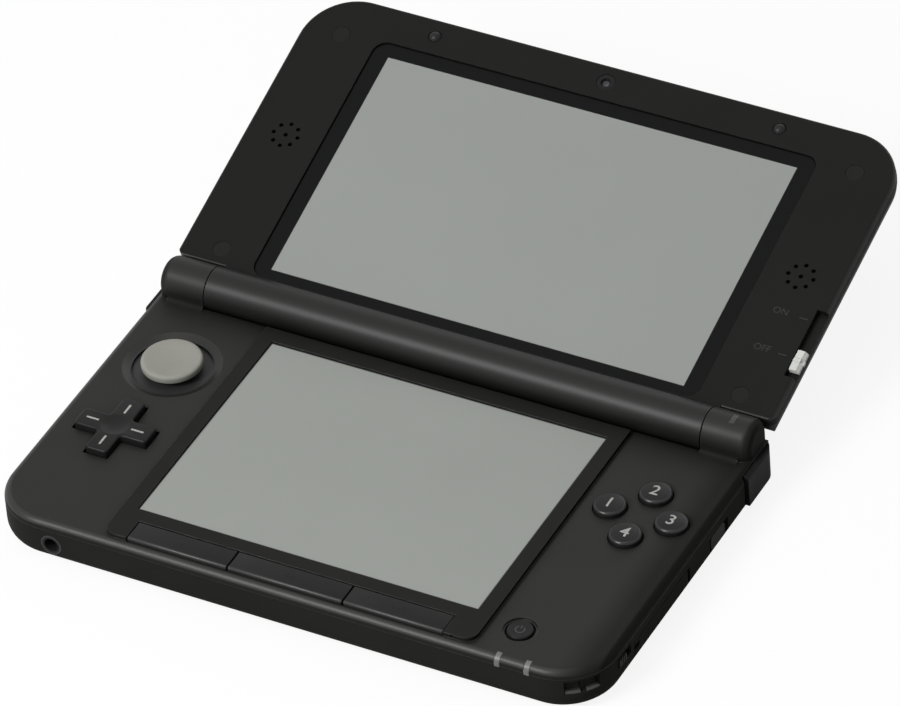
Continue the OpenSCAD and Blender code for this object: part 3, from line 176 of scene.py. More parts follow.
class Finish:
    """A procedural finish on the piece's own coordinates. All sizes are in millimetres."""

    def __init__(self, name, colour, roughness, sheen=0.5, metal=0):
        self.material = bpy.data.materials.new(name)
        self.material.use_nodes = True
        self.tree = self.material.node_tree
        self.shader = self.tree.nodes["Principled BSDF"]
        self.colour = colour
        self.roughness = roughness
        for socket, value in (("Base Color", (*colour, 1)), ("Roughness", roughness),
                              ("Specular IOR Level", sheen), ("Metallic", metal)):
            self.shader.inputs[socket].default_value = value
        self.coords = self.add("ShaderNodeTexCoord").outputs["Object"]
        self.rounded = None

    def add(self, kind, **settings):
        node = self.tree.nodes.new(kind)
        for name, value in settings.items():
            setattr(node, name, value)
        return node

    def join(self, source, socket):
        self.tree.links.new(source, socket)

    def turned_coords(self, centre, lean):
        """The piece's coordinates seen from a leaning plane through a point."""
        place = self.add("ShaderNodeMapping", vector_type="TEXTURE")
        place.inputs["Location"].default_value = [v * mm for v in centre]
        place.inputs["Rotation"].default_value = (lean, 0, 0)
        self.join(self.coords, place.inputs["Vector"])
        return place.outputs[0]

    def zone(self, axis, low, high, soft, coords=None):
        """A mask that is one between two heights, or distances along an axis, of the piece."""
        axes = self.add("ShaderNodeSeparateXYZ")
        self.join(coords or self.coords, axes.inputs[0])
        above = self.remap(axes.outputs[axis], 0, 1, (low - soft) * mm, low * mm)
        below = self.remap(axes.outputs[axis], 1, 0, high * mm, (high + soft) * mm)
        return self.math("MULTIPLY", above, below)

    def polished(self, where, level, roughness):
        """A smoother zone: more sheen and less roughness where the mask is one."""
        socket = self.shader.inputs["Specular IOR Level"]
        self.join(self.remap(where, socket.default_value, level, 0, 1), socket)
        blend = self.add("ShaderNodeMix", data_type="FLOAT")
        self.join(where, blend.inputs[0])
        self.join(self.gloss, blend.inputs[2])
        blend.inputs[3].default_value = roughness
        self.join(blend.outputs[0], self.shader.inputs["Roughness"])
        return self

    def noise(self, size, detail):
        """Noise whose lumps are about size across."""
        noise = self.add("ShaderNodeTexNoise")
        noise.inputs["Scale"].default_value = 1 / (size * mm)
        noise.inputs["Detail"].default_value = detail
        self.join(self.coords, noise.inputs["Vector"])
        return noise.outputs["Fac"]

    def remap(self, value, low, high, start=0.3, stop=0.7):
        """Low to high while the value goes from start to stop."""
        ramp = self.add("ShaderNodeMapRange")
        for name, number in (("From Min", start), ("From Max", stop), ("To Min", low), ("To Max", high)):
            ramp.inputs[name].default_value = number
        self.join(value, ramp.inputs["Value"])
        return ramp.outputs["Result"]

    def math(self, operation, first, second):
        node = self.add("ShaderNodeMath", operation=operation)
        for socket, value in zip(node.inputs, (first, second)):
            if isinstance(value, (int, float)):
                socket.default_value = value
            else:
                self.join(value, socket)
        return node.outputs[0]

    def between(self, share, first, second):
        """A colour between two, by share."""
        mix = self.add("ShaderNodeMix", data_type="RGBA")
        self.join(share, mix.inputs[0])
        for socket, value in ((mix.inputs[6], first), (mix.inputs[7], second)):
            if isinstance(value, tuple):
                socket.default_value = (*value, 1)
            else:
                self.join(value, socket)
        return mix.outputs[2]

    def mottled(self, size, colour_share, rough_share):
        """Cloudy change of tone and gloss, as handling and moulding leave."""
        cloud = self.noise(size, 4)
        dark = tuple(c * (1 - colour_share) for c in self.colour)
        pale = tuple(c * (1 + colour_share) for c in self.colour)
        self.tone = self.between(self.remap(cloud, 0, 1), dark, pale)
        self.join(self.tone, self.shader.inputs["Base Color"])
        self.gloss = self.remap(cloud, self.roughness + rough_share, self.roughness - rough_share)
        self.join(self.gloss, self.shader.inputs["Roughness"])
        return self

    def shaded(self, reach, darkest):
        """Painted shade: darker colour in corners and crevices, the more closed in they are."""
        closed_in = 0.30
        out_in_open = 0.95
        openness = self.add("ShaderNodeAmbientOcclusion", samples=6)
        openness.inputs["Distance"].default_value = reach * mm
        painted_shade = self.remap(openness.outputs["AO"], 1, 0, closed_in, out_in_open)
        self.tone = self.between(painted_shade, self.tone, tuple(c * darkest for c in self.colour))
        self.join(self.tone, self.shader.inputs["Base Color"])
        return self

    def darkened(self, where, share):
        """A zone coloured darker, as painted shade."""
        self.tone = self.between(where(self), self.tone, tuple(c * share for c in self.colour))
        self.join(self.tone, self.shader.inputs["Base Color"])
        return self

    def eased(self, radius):
        """Edges shaded as if rounded to a small radius, as every mould leaves them."""
        self.rounded = self.add("ShaderNodeBevel", samples=3)
        self.rounded.inputs["Radius"].default_value = radius * mm
        self.join(self.rounded.outputs[0], self.shader.inputs["Normal"])
        return self

    def grained(self, size, depth):
        """Fine raised grain from the mould."""
        bump = self.add("ShaderNodeBump")
        bump.inputs["Distance"].default_value = depth * mm
        bump.inputs["Strength"].default_value = 1.0
        self.join(self.noise(size, 3), bump.inputs["Height"])
        if self.rounded:
            self.join(self.rounded.outputs[0], bump.inputs["Normal"])
        self.join(bump.outputs[0], self.shader.inputs["Normal"])
        return self

    def worn(self, colour):
        """Edges a little paler in patches, where fingers and the table rub them."""
        patch_size = 2.5
        on_edge = 0.80
        on_flat = 0.985
        face = self.add("ShaderNodeNewGeometry")
        dot = self.add("ShaderNodeVectorMath", operation="DOT_PRODUCT")
        self.join(self.rounded.outputs[0], dot.inputs[0])
        self.join(face.outputs["Normal"], dot.inputs[1])
        self.edge = self.remap(dot.outputs["Value"], 1, 0, on_edge, on_flat)
        patchy = self.remap(self.noise(patch_size, 5), 0, 0.6, 0.42, 0.62)
        rubbed = self.math("MULTIPLY", self.edge, patchy)
        self.join(self.between(rubbed, self.tone, colour), self.shader.inputs["Base Color"])
        return self


def plain_mesh(piece, name):
    """The piece's finished shape as one plain mesh on an object at the origin."""
    bpy.context.view_layer.update()
    shape = piece.evaluated_get(bpy.context.evaluated_depsgraph_get())
    mesh = bpy.data.meshes.new_from_object(shape)
    mesh.name = name
    bpy.data.objects.remove(piece)
    finished = bpy.data.objects.new(name, mesh)
    bpy.context.collection.objects.link(finished)
    return finished


def fit(piece, body, slot, finish, *replaced):
    """Gives a piece its body and finish and hides the solids that it stands for; slot is not used."""
    piece.data.materials.clear()
    piece.data.materials.append(finish.material)
    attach(piece, body)
    if replaced:
        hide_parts(*replaced)


def dress(finish, *names):
    """Puts a finish on CAD solids whose shape is right as it is."""
    for name in names:
        nodes[name].data.materials.clear()
        nodes[name].data.materials.append(finish.material)


deck_reach = 76.3
pad_hollow = (-61.9, 14.7, 0)
pad_hollow_reach = 11.6
pad_hollow_soft = 0.5
rim_heights = (10.7, 11.74)
rim_ends = (-90, 68)
rim_fade = 6
knuckle_heights = (13.2, 25)
knuckle_ends = (-75.0, 75.2)
knuckle_sheen = 0.55


def deck_side_shade(finish):
    """The outer two millimetres at the left and right ends of the deck, where shade is painted on the rims.
    """
    return finish.remap(finish.zone("X", -deck_reach, deck_reach, 0.5), 1, 0, 0, 1)


def pad_recess_shade(finish):
    """The shallow cone round the opening of the circle pad, with painted shade that leaves it darker."""
    flat = finish.add("ShaderNodeVectorMath", operation="MULTIPLY")
    finish.join(finish.turned_coords(pad_hollow, 0), flat.inputs[0])
    flat.inputs[1].default_value = (1, 1, 0)
    reach = finish.add("ShaderNodeVectorMath", operation="LENGTH")
    finish.join(flat.outputs[0], reach.inputs[0])
    edge = pad_hollow_reach * mm
    return finish.remap(reach.outputs["Value"], 1, 0, edge, edge + pad_hollow_soft * mm)


deck_plastic = Finish("deck_plastic", (0.0192, 0.0192, 0.0177), 0.48, sheen=0.022)
# Painted shade: ambient occlusion darkens the colour in corners and crevices, as in front of the hinge
# barrel.
deck_plastic.mottled(14, 0.05, 0.04).shaded(14, 0.15)
# Painted shade: the pad's recess cone and the outer rims at both ends of the deck are coloured darker.
deck_plastic.darkened(pad_recess_shade, 0.62).darkened(deck_side_shade, 0.5)
deck_plastic.eased(0.32).grained(0.16, 0.004).worn((0.07, 0.07, 0.073))
rim = deck_plastic.math("MULTIPLY", deck_plastic.zone("Z", *rim_heights, 0.1),
                        deck_plastic.zone("X", *rim_ends, rim_fade))
knuckles = deck_plastic.math("MULTIPLY", deck_plastic.zone("Z", *knuckle_heights, 0.2),
                             deck_plastic.zone("X", *knuckle_ends, 0.6))
knuckles = deck_plastic.math("MULTIPLY", knuckles, knuckle_sheen)
shiny = deck_plastic.math("MAXIMUM", deck_plastic.edge, deck_plastic.math("ADD", rim, knuckles))
deck_plastic.polished(shiny, 0.28, 0.40)
dress(deck_plastic, "deck_shell")


# Lower case. The tray under the deck, moulded in the same charcoal plastic but with a slightly
# coarser grain, with the openings for cards, plugs, switches and the strap. The bay that
# frames the game card's mouth is a moulding of its own, let into the floor and the rear wall.
case_plastic = Finish("case_plastic", (0.0192, 0.0192, 0.0177), 0.52, sheen=0.008)
case_plastic.mottled(18, 0.05, 0.04).eased(0.18)
case_plastic.grained(0.2, 0.005).worn((0.06, 0.06, 0.062))
dress(case_plastic, "lower_case", "card_bay")


# Battery cover. A flat moulded lid in the underside with a round edge all round and a field of
# short finger grooves at each end, held by two captive screws.
cover_low = 0.12
cover_top = 1.0
cover_centre = (0, -2)
cover_size = (132, 72)
cover_corner = 6
groove_count = 7
groove_step = 2.2
groove_wide = 1.1
groove_long = 14
groove_round = 0.54
groove_middle = 56
captive_x = 50
captive_y = -34


def arc(cx, cy, radius, degrees, rise=None):
    """Points round a centre at angles in degrees, on an ellipse where rise is its other radius."""
    up = rise or radius
    turns = [math.radians(t) for t in degrees]
    return [(cx + radius * math.cos(t), cy + up * math.sin(t)) for t in turns]


def circle(radius, count=64, centre=(0, 0)):
    """Points round a circle, anticlockwise."""
    return arc(*centre, radius, [360 * i / count for i in range(count)])


def rectangle(width, depth, radius, centre=(0, 0)):
    """Points round a rectangle with rounded corners, anticlockwise."""
    steps = 8
    points = []
    for corner, (sx, sy) in enumerate(((1, 1), (-1, 1), (-1, -1), (1, -1))):
        cx = centre[0] + sx * (width / 2 - radius)
        cy = centre[1] + sy * (depth / 2 - radius)
        points += arc(cx, cy, radius, [90 * (corner + i / steps) for i in range(steps + 1)])
    return points


def lofted(rings):
    """A closed skin through rings of points with the same count, anticlockwise seen from the last."""
    shape = bmesh.new()
    loops = [[shape.verts.new(point) for point in ring] for ring in rings]
    count = len(loops[0])
    for low, high in zip(loops, loops[1:]):
        for i in range(count):
            j = (i + 1) % count
            shape.faces.new((low[i], low[j], high[j], high[i]))
    shape.faces.new(loops[0][::-1])
    shape.faces.new(loops[-1])
    return shape


def stacked(outline, levels):
    """A skin through one outline drawn at several insets: levels are (inset, height) pairs."""
    return lofted([[(x, y, height) for x, y in outline(inset)] for inset, height in levels])


def rounding(radius, height, up=True):
    """Levels of a quarter round at an upper edge (or, when up is False, at a lower one)."""
    quarter = [(radius - across, rise) for across, rise in arc(0, 0, radius, range(0, 91, 18))]
    if up:
        return [(inset, height - radius + rise) for inset, rise in quarter]
    return [(inset, height + radius - rise) for inset, rise in quarter[::-1]]


def turned(profile, count=64, centre=(0, 0)):
    """A solid of revolution about an upright axis: the profile is (radius, height) pairs."""
    return lofted([[(x, y, height) for x, y in circle(max(radius, 0.01), count, centre)]
                   for radius, height in profile])


def made(name, shapes, place=None, sharp=40):
    """One object from shapes drawn in millimetres, moved to its place and shaded smooth up to an angle."""
    mesh = bpy.data.meshes.new(name)
    whole = bmesh.new()
    for shape in shapes:
        part = bpy.data.meshes.new("part")
        shape.to_mesh(part)
        shape.free()
        whole.from_mesh(part)
        bpy.data.meshes.remove(part)
    bmesh.ops.recalc_face_normals(whole, faces=whole.faces)
    whole.transform((place or Matrix()) @ Matrix.Scale(mm, 4))
    whole.to_mesh(mesh)
    whole.free()
    mesh.polygons.foreach_set("use_smooth", [True] * len(mesh.polygons))
    mesh.set_sharp_from_angle(angle=math.radians(sharp))
    piece = bpy.data.objects.new(name, mesh)
    bpy.context.collection.objects.link(piece)
    return piece


def cut(piece, cutter):
    """Takes the cutter's shape out of the piece, which ends as a plain mesh."""
    carve = piece.modifiers.new("cut", "BOOLEAN")
    carve.operation = "DIFFERENCE"
    carve.solver = "EXACT"
    carve.use_self = True
    carve.object = cutter
    name = piece.name
    piece.name = name + "_blank"
    carved = plain_mesh(piece, name)
    bpy.data.objects.remove(cutter)
    carved.data.set_sharp_from_angle(angle=math.radians(40))
    return carved


def place_mm(x, y, z):
    """A move by millimetres."""
    return Matrix.Translation((x * mm, y * mm, z * mm))


def node_group(name, sockets):
    """An empty geometry node tree with named inputs."""
    group = bpy.data.node_groups.new(name, "GeometryNodeTree")
    for label, kind in sockets:
        group.interface.new_socket(label, in_out="INPUT", socket_type=kind)
    group.interface.new_socket("Geometry", in_out="OUTPUT", socket_type="NodeSocketGeometry")
    return group, group.nodes.new("NodeGroupInput").outputs, group.nodes.new("NodeGroupOutput").inputs


def planted(tree, given, result, points):
    """Copies of the Piece on points, in its Finish, as the tree's result. Gives their turn socket."""
    kinds = ("ObjectInfo", "InstanceOnPoints", "RealizeInstances", "SetMaterial")
    info, copies, real, paint = [tree.nodes.new("GeometryNode" + kind) for kind in kinds]
    wire(tree, (given["Piece"], info.inputs["Object"]), (points, copies.inputs["Points"]),
         (info.outputs["Geometry"], copies.inputs["Instance"]),
         (copies.outputs["Instances"], real.inputs["Geometry"]),
         (real.outputs["Geometry"], paint.inputs["Geometry"]),
         (given["Finish"], paint.inputs["Material"]), (paint.outputs["Geometry"], result["Geometry"]))
    return copies.inputs["Rotation"]


row_tree, given, result = node_group("row of pieces", [
    ("Geometry", "NodeSocketGeometry"), ("Piece", "NodeSocketObject"), ("Count", "NodeSocketInt"),
    ("Start", "NodeSocketVector"), ("Step", "NodeSocketVector"), ("Finish", "NodeSocketMaterial")])
line = row_tree.nodes.new("GeometryNodeMeshLine")
wire(row_tree, (given["Count"], line.inputs["Count"]), (given["Start"], line.inputs["Start Location"]),
     (given["Step"], line.inputs["Offset"]))
planted(row_tree, given, result, line.outputs["Mesh"])


def grown(name, tree, values, base=None):
    """The result of a geometry node tree as a plain mesh, its inputs set by name."""
    mesh = base or bpy.data.meshes.new(name + "_seed")
    seed = bpy.data.objects.new(name + "_seed", mesh)
    nodes_on = seed.modifiers.new("made", "NODES")
    nodes_on.node_group = tree
    for socket in tree.interface.items_tree:
        if socket.in_out == "INPUT" and socket.name in values:
            nodes_on[socket.identifier] = values[socket.name]
    bpy.context.collection.objects.link(seed)
    return plain_mesh(seed, name)


def row(name, sample, count, start, step, finish):
    """A row of copies of a sample piece, which is used up."""
    made_row = grown(name, row_tree, {"Piece": sample, "Count": count, "Start": [v * mm for v in start],
                                      "Step": [v * mm for v in step], "Finish": finish.material})
    bpy.data.objects.remove(sample)
    return made_row


cover_levels = rounding(0.35, cover_low, up=False) + rounding(0.1, cover_top)
plate = made("battery_cover_plate", [stacked(
    lambda inset: rectangle(cover_size[0] - 2 * inset, cover_size[1] - 2 * inset, cover_corner - inset,
                            cover_centre), cover_levels)])
for side in (-1, 1):
    groove = made("groove", [stacked(
        lambda inset: rectangle(groove_wide - 2 * inset, groove_long - 2 * inset, groove_round - inset),
        [(0, -0.5), (0, 0.25), (0.15, 0.45), (0.4, 0.5)])])
    start = (side * groove_middle - groove_step * (groove_count - 1) / 2, cover_centre[1], 0)
    plate = cut(plate, row("grooves", groove, groove_count, start, (groove_step, 0, 0), case_plastic))
for side in (-1, 1):
    well = turned([(2.1, -1), (2.1, 0.55), (0.95, 0.65), (0.95, 2)], 48, (side * captive_x, captive_y))
    plate = cut(plate, made("screw_hole", [well]))
fit(plate, "base", "case", case_plastic, "battery_cover")


# Screws. Small machine screws of plated steel with a cross recess: two captive ones in the battery
# cover, four through the case and four under the round caps of the lid. Each stopped at its own turn.
steel = Finish("plated_steel", (0.46, 0.46, 0.45), 0.34, metal=1)
steel.mottled(1.2, 0.12, 0.08).eased(0.06).grained(0.05, 0.002).worn((0.62, 0.62, 0.61))


def screw(head, thick, shank, length):
    """A screw with its head down and its shank up from the seat at zero."""
    recess = 0.62 * head
    slot_half = 0.13 * head
    cross = []
    for c, s in arc(0, 0, 1, [7.5 * i for i in range(48)]):
        small, large = sorted((abs(c), abs(s)))
        reach = recess / max(large, 0.01) if small < 0.20 * large else slot_half / small
        reach = min(reach, recess)
        cross.append((reach * c, reach * s))
    rings = [[(0.5 * x, 0.5 * y, -thick * 0.25) for x, y in cross], [(x, y, -thick) for x, y in cross]]
    for radius, height in ((head * 0.86, -thick), (head * 0.97, -thick * 0.85), (head, -thick * 0.6),
                           (head, 0), (shank, 0.02), (shank, length - shank * 0.6), (shank * 0.4, length)):
        rings.append([(x, y, height) for x, y in circle(radius, 48)])
    return made("screw", [lofted(rings)])


screw_tree, given, result = node_group("screws at points", [
    ("Geometry", "NodeSocketGeometry"), ("Piece", "NodeSocketObject"), ("Lean", "NodeSocketVector"),
    ("Seed", "NodeSocketInt"), ("Finish", "NodeSocketMaterial")])
chance = screw_tree.nodes.new("FunctionNodeRandomValue")
chance.data_type = "FLOAT"
chance.inputs[3].default_value = math.pi / 2
spin = screw_tree.nodes.new("ShaderNodeCombineXYZ")
turn_own = screw_tree.nodes.new("FunctionNodeRotateRotation")
turn_own.rotation_space = "LOCAL"
wire(screw_tree, (given["Seed"], chance.inputs["Seed"]), (chance.outputs[1], spin.inputs["Z"]),
     (given["Lean"], turn_own.inputs[0]), (spin.outputs[0], turn_own.inputs[1]),
     (turn_own.outputs[0], planted(screw_tree, given, result, given["Geometry"])))


def screws(name, sample, points, lean, seed, body, node):
    """A set of screws at points in millimetres, each turned by chance."""
    places = bpy.data.meshes.new(name + "_places")
    places.from_pydata([Vector(p) * mm for p in points], [], [])
    rows = grown(name, screw_tree, {"Piece": sample, "Lean": lean, "Seed": seed,
                                    "Finish": steel.material}, places)
    bpy.data.objects.remove(sample)
    fit(rows, body, "steel", steel, node)


lid_open = 163.2
hinge_axis = (0, 40.6, 14.3)
lid_lean = math.radians(180 - lid_open)
lid_place = place_mm(*hinge_axis) @ Matrix.Rotation(lid_lean, 4, "X")
cap_places = [(67.8, 76.1), (-67.8, 76.1), (67.8, 10.6), (-67.8, 10.6)]
upright_screw = (0, 0, 0)
captive_places = [(-captive_x, captive_y, 0.6), (captive_x, captive_y, 0.6)]
long_places = [(68, -34, 2), (-71.5, -27.5, 2), (58.5, 31.7, 2), (-58.5, 31.7, 2)]
lid_screw_seat = -1.3
corner_places = [(lid_place @ Vector((x * mm, s * mm, lid_screw_seat * mm))) / mm for x, s in cap_places]
screws("captive_screws", screw(1.8, 0.5, 0.85, 3), captive_places, upright_screw, 3, "base", "cover_screws")
screws("long_screws", screw(1.75, 0.8, 0.8, 6.5), long_places, upright_screw, 11, "base", "case_screws")
screws("lid_corner_screws", screw(1.7, 0.8, 0.85, 4.2), corner_places, (math.pi + lid_lean, 0, 0), 7,
       "lid", "lid_screws")


# Lower screen. A resistive touch panel, a matt film on glass with a dark printed border, over a
# small display in a pressed steel frame.
border_dark = (0.020, 0.021, 0.021)
screen_grey = (0.305, 0.320, 0.300)
touch_window = (87.2, 64.2)
touch_centre = (0, -2.2, 12.5)
steel_frame = Finish("pressed_steel", (0.50, 0.50, 0.49), 0.40, metal=1)
steel_frame.mottled(3, 0.10, 0.08).eased(0.06).grained(0.3, 0.003).worn((0.66, 0.66, 0.65))


def windowed(finish, size, centre, lean, border, softness=0.12):
    """A pale window inside a dark border, drawn in the piece's own plane."""
    axes = finish.add("ShaderNodeSeparateXYZ")
    finish.join(finish.turned_coords(centre, lean), axes.inputs[0])
    within = []
    for axis, extent in zip("XY", size):
        far = finish.math("ABSOLUTE", axes.outputs[axis], 0)
        half = extent / 2 * mm
        within.append(finish.remap(far, 1, 0, half - softness * mm, half))
    inside = finish.math("MULTIPLY", *within)
    finish.join(finish.between(inside, border, finish.tone), finish.shader.inputs["Base Color"])


touch_film = Finish("touch_film", screen_grey, 0.55, sheen=0.1)
touch_film.mottled(30, 0.015, 0.05).grained(0.09, 0.001)
windowed(touch_film, touch_window, touch_centre, 0, border_dark, 0.3)
dress(touch_film, "touch_panel")
panel_glass = Finish("display_glass", screen_grey, 0.35, sheen=0.3)
panel_glass.mottled(20, 0.02, 0.04)
dress(panel_glass, "lower_display", "upper_display")
dress(steel_frame, "display_frame")


# Menu keys. Three long keys set end to end in the bar in front of the screen, each with soft long
# edges, a tab that holds it under the deck and one, two or three pressed-in bars.
key_plastic = Finish("key_plastic", (0.0112, 0.0112, 0.0110), 0.36, sheen=0.13)
key_plastic.mottled(6, 0.06, 0.05).eased(0.08).grained(0.12, 0.003).worn((0.08, 0.08, 0.083))
key_front_edge = (-44.5, -43.9)
key_plastic.polished(key_plastic.zone("Y", *key_front_edge, 0.06), 0.42, 0.38)
mark_dark = Finish("dark_mark", (0.012, 0.012, 0.012), 0.6, sheen=0.1)
mark_dark.mottled(1, 0.1, 0.05)
key_ends = [-41.1, -15.3, 14.3, 39.8]
key_gap = 0.2
key_front = -44.4
key_back = -38.5
key_low = 9.9
key_top = 12.9
key_back_round = 0.35
key_front_round = 0.5
tab_depth = 1.8
bar_y = -41.3
bar_step = 1.3


def key_section(trim):
    """The key seen from its end, with soft upper edges, drawn a little smaller by trim."""
    back_turn = (key_back - key_back_round, key_top - key_back_round, key_back_round - trim)
    front_turn = (key_front + key_front_round, key_top - key_front_round, key_front_round - trim)
    points = [(key_back - trim, key_low + trim), (key_back - trim, key_top - 0.5)]
    points += arc(*back_turn, range(15, 91, 15))
    points.append(((key_back + key_front) / 2, key_top - 0.08 - trim))
    points += arc(*front_turn, range(90, 181, 15))
    points.append((key_front + trim, key_low + trim))
    return points


for i, side in enumerate(("left", "middle", "right")):
    x0 = key_ends[i] + (0 if i == 0 else key_gap)
    x1 = key_ends[i + 1] - (0 if i == 2 else key_gap)
    ends = [(x0, 0.2), (x0 + 0.06, 0.06), (x0 + 0.2, 0), (x1 - 0.2, 0), (x1 - 0.06, 0.06), (x1, 0.2)]
    bar = lofted([[(x, y, z) for y, z in key_section(trim)] for x, trim in ends])
    middle = (x0 + x1) / 2
    tab = stacked(lambda inset: rectangle(x1 - x0 - 6 - 2 * inset, tab_depth - 2 * inset, 0.2,
                                          (middle, key_back + 0.4)), [(0, key_low), (0, key_low + 0.5)])
    body = "menu_key_" + side
    fit(made(body + "_bar", [bar, tab], sharp=50), body, "keys", key_plastic, body)
    bars = []
    for k in range(i + 1):
        centre = (middle + (k - i / 2) * bar_step, bar_y)
        bars.append(stacked(lambda inset: rectangle(0.5 - 2 * inset, 2.0 - 2 * inset, 0.24 - inset, centre),
                            [(0, key_top - 0.4), (0, key_top - 0.075), (0.06, key_top - 0.065)]))
    fit(made(body + "_marks", bars), body, "black_plastic", mark_dark)


# Circle pad. A grey thumb cap with a soft rim and a shallow dish, on a neck that rises from a dark skirt
# which closes the round opening; its square stem rides in a slider on a base under the deck.
pad_centre = pad_hollow[:2]
pad_rubber = Finish("pad_cap", (0.270, 0.270, 0.240), 0.62, sheen=0.25)
pad_rubber.mottled(5, 0.03, 0.05).grained(0.1, 0.003)
skirt_plastic = Finish("pad_skirt", (0.022, 0.022, 0.023), 0.45, sheen=0.25)
skirt_plastic.mottled(6, 0.06, 0.05).grained(0.15, 0.003)


def dish(reach, depth, top):
    """Profile of a shallow dish from its rim to the middle."""
    steps = 8
    ball = (reach ** 2 + depth ** 2) / (2 * depth)
    radii = [reach * (1 - i / steps) for i in range(steps)]
    return [(r, top - depth + ball - math.sqrt(ball ** 2 - r ** 2)) for r in radii] + [(0, top - depth)]


cap = [(4.3, 10.3), (4.4, 11.95), (7.05, 11.95)]
cap += arc(7.05, 12.25, 0.3, (-60, -30, 0)) + arc(6.6, 13.05, 0.75, range(0, 91, 10))
cap += dish(5.9, 0.45, 13.77)
fit(made("circle_pad_thumb_cap", [turned(cap, 96, pad_centre)], sharp=50),
    "circle_pad", "pad_cap", pad_rubber, "circle_pad_cap")
skirt = [(0, 9.55), (12.05, 9.55), (12.2, 9.7), (12.2, 10.2), (12.05, 10.35), (5.2, 10.35), (4.35, 10.45),
         (0, 10.45)]
stem = stacked(lambda inset: rectangle(4 - 2 * inset, 4 - 2 * inset, 0.4, pad_centre),
               [(0.1, 8.45), (0, 8.55), (0, 9.6)])
fit(made("circle_pad_skirt", [turned(skirt, 96, pad_centre), stem]),
    "circle_pad", "black_plastic", skirt_plastic)
pale_plastic = Finish("pale_plastic", (0.62, 0.63, 0.60), 0.45, sheen=0.3)
pale_plastic.mottled(4, 0.03, 0.05).eased(0.25).grained(0.12, 0.002)
black_plastic = Finish("black_plastic", (0.012, 0.012, 0.012), 0.45, sheen=0.10)
black_plastic.mottled(5, 0.1, 0.06).eased(0.08).grained(0.15, 0.003).worn((0.05, 0.05, 0.05))
dress(pale_plastic, "circle_pad_slider", "dpad_pivot")
dress(black_plastic, "circle_pad_base")


# Direction pad. One moulded cross with soft edges, a dished middle and a pale bar inlaid in each arm,
# on a round flange that holds it under the deck and rocks on a ball.
cross_centre = (-62.6, -11.2)
cross_span = 19
cross_arm = 5.8
cross_top = 13.5
cross_edge = 0.55
dish_radius = 12
dish_depth = 0.5
ball_height = 9.15
ball_radius = 0.9
inlay_reach = 5.9


def cross(inset):
    """Outline of the cross, with round outer and inner corners."""
    outer = 0.9 - inset
    inner = 0.9 + inset
    half_span = cross_span / 2 - inset
    half_arm = cross_arm / 2 - inset
    points = []
    for quarter in range(4):
        turn = math.radians(90 * quarter)
        corners = [((half_span - outer, half_arm - outer), outer, 0, 90),
                   ((half_arm + inner, half_arm + inner), inner, 270, 180),
                   ((half_arm - outer, half_span - outer), outer, 0, 90)]
        for (cx, cy), radius, begin, end in corners:
            for x, y in arc(cx, cy, radius, [begin + (end - begin) * i / 6 for i in range(7)]):
                points.append((cross_centre[0] + x * math.cos(turn) - y * math.sin(turn),
                               cross_centre[1] + x * math.sin(turn) + y * math.cos(turn)))
    return points


levels = [(0, 9.5), (0, 12.0)] + rounding(cross_edge, cross_top)
flange = turned([(0, 9.2), (10.5, 9.2), (10.6, 9.3), (10.6, 9.75), (10.5, 9.85), (0, 9.85)], 64,
                cross_centre)
pad = made("direction_cross", [stacked(cross, levels), flange], sharp=50)
ball = arc(0, cross_top - dish_depth + dish_radius, dish_radius, range(-90, -70))
scoop = turned([(0, cross_top - dish_depth)] + ball[1:] + [(0, ball[-1][1])], 64, cross_centre)
pad = cut(pad, made("dish_cutter", [scoop]))
ball = arc(0, ball_height, ball_radius, range(-80, 81, 20))
socket_profile = [(0, ball_height - ball_radius)] + ball + [(0, ball_height + ball_radius)]
socket = turned(socket_profile, 32, cross_centre)
pad = cut(pad, made("ball_cutter", [socket]))
fit(pad, "dpad", "keys", key_plastic, "dpad")
bars = []
for turn in range(4):
    centre = arc(*cross_centre, inlay_reach, [90 * turn])[0]
    wide, deep = (3.3, 0.55) if turn % 2 == 0 else (0.55, 3.3)
    bars.append(stacked(lambda inset: rectangle(wide - 2 * inset, deep - 2 * inset, 0.26 - inset, centre),
                        [(0, 13.2), (0, cross_top), (0.08, cross_top + 0.02)]))
inlay = Finish("pale_inlay", (0.36, 0.36, 0.34), 0.5, sheen=0.2)
inlay.mottled(0.8, 0.08, 0.06)
fit(made("direction_bars", bars), "dpad", "pale_plastic", inlay)


# Face buttons. Four round buttons on a square turned on its corner, each with a low dome, a soft edge,
# a flange under the deck and a pale number inlaid in its top.
button_centre = (62.5, 9.5)
button_ring = 7.8
button_top = 13.5
dome_drop = 0.22
dome_reach = 3.2
digit_height = 3.3
capital_share = 0.73
stroke_share = 0.012
cut_step = 0.45
cuts_each_way = 4
dome_sides = (11.5, 13.2)


def dome_height(radius):
    """Height of the domed top at a distance from the button's middle."""
    return button_top - dome_drop * (radius / dome_reach) ** 2


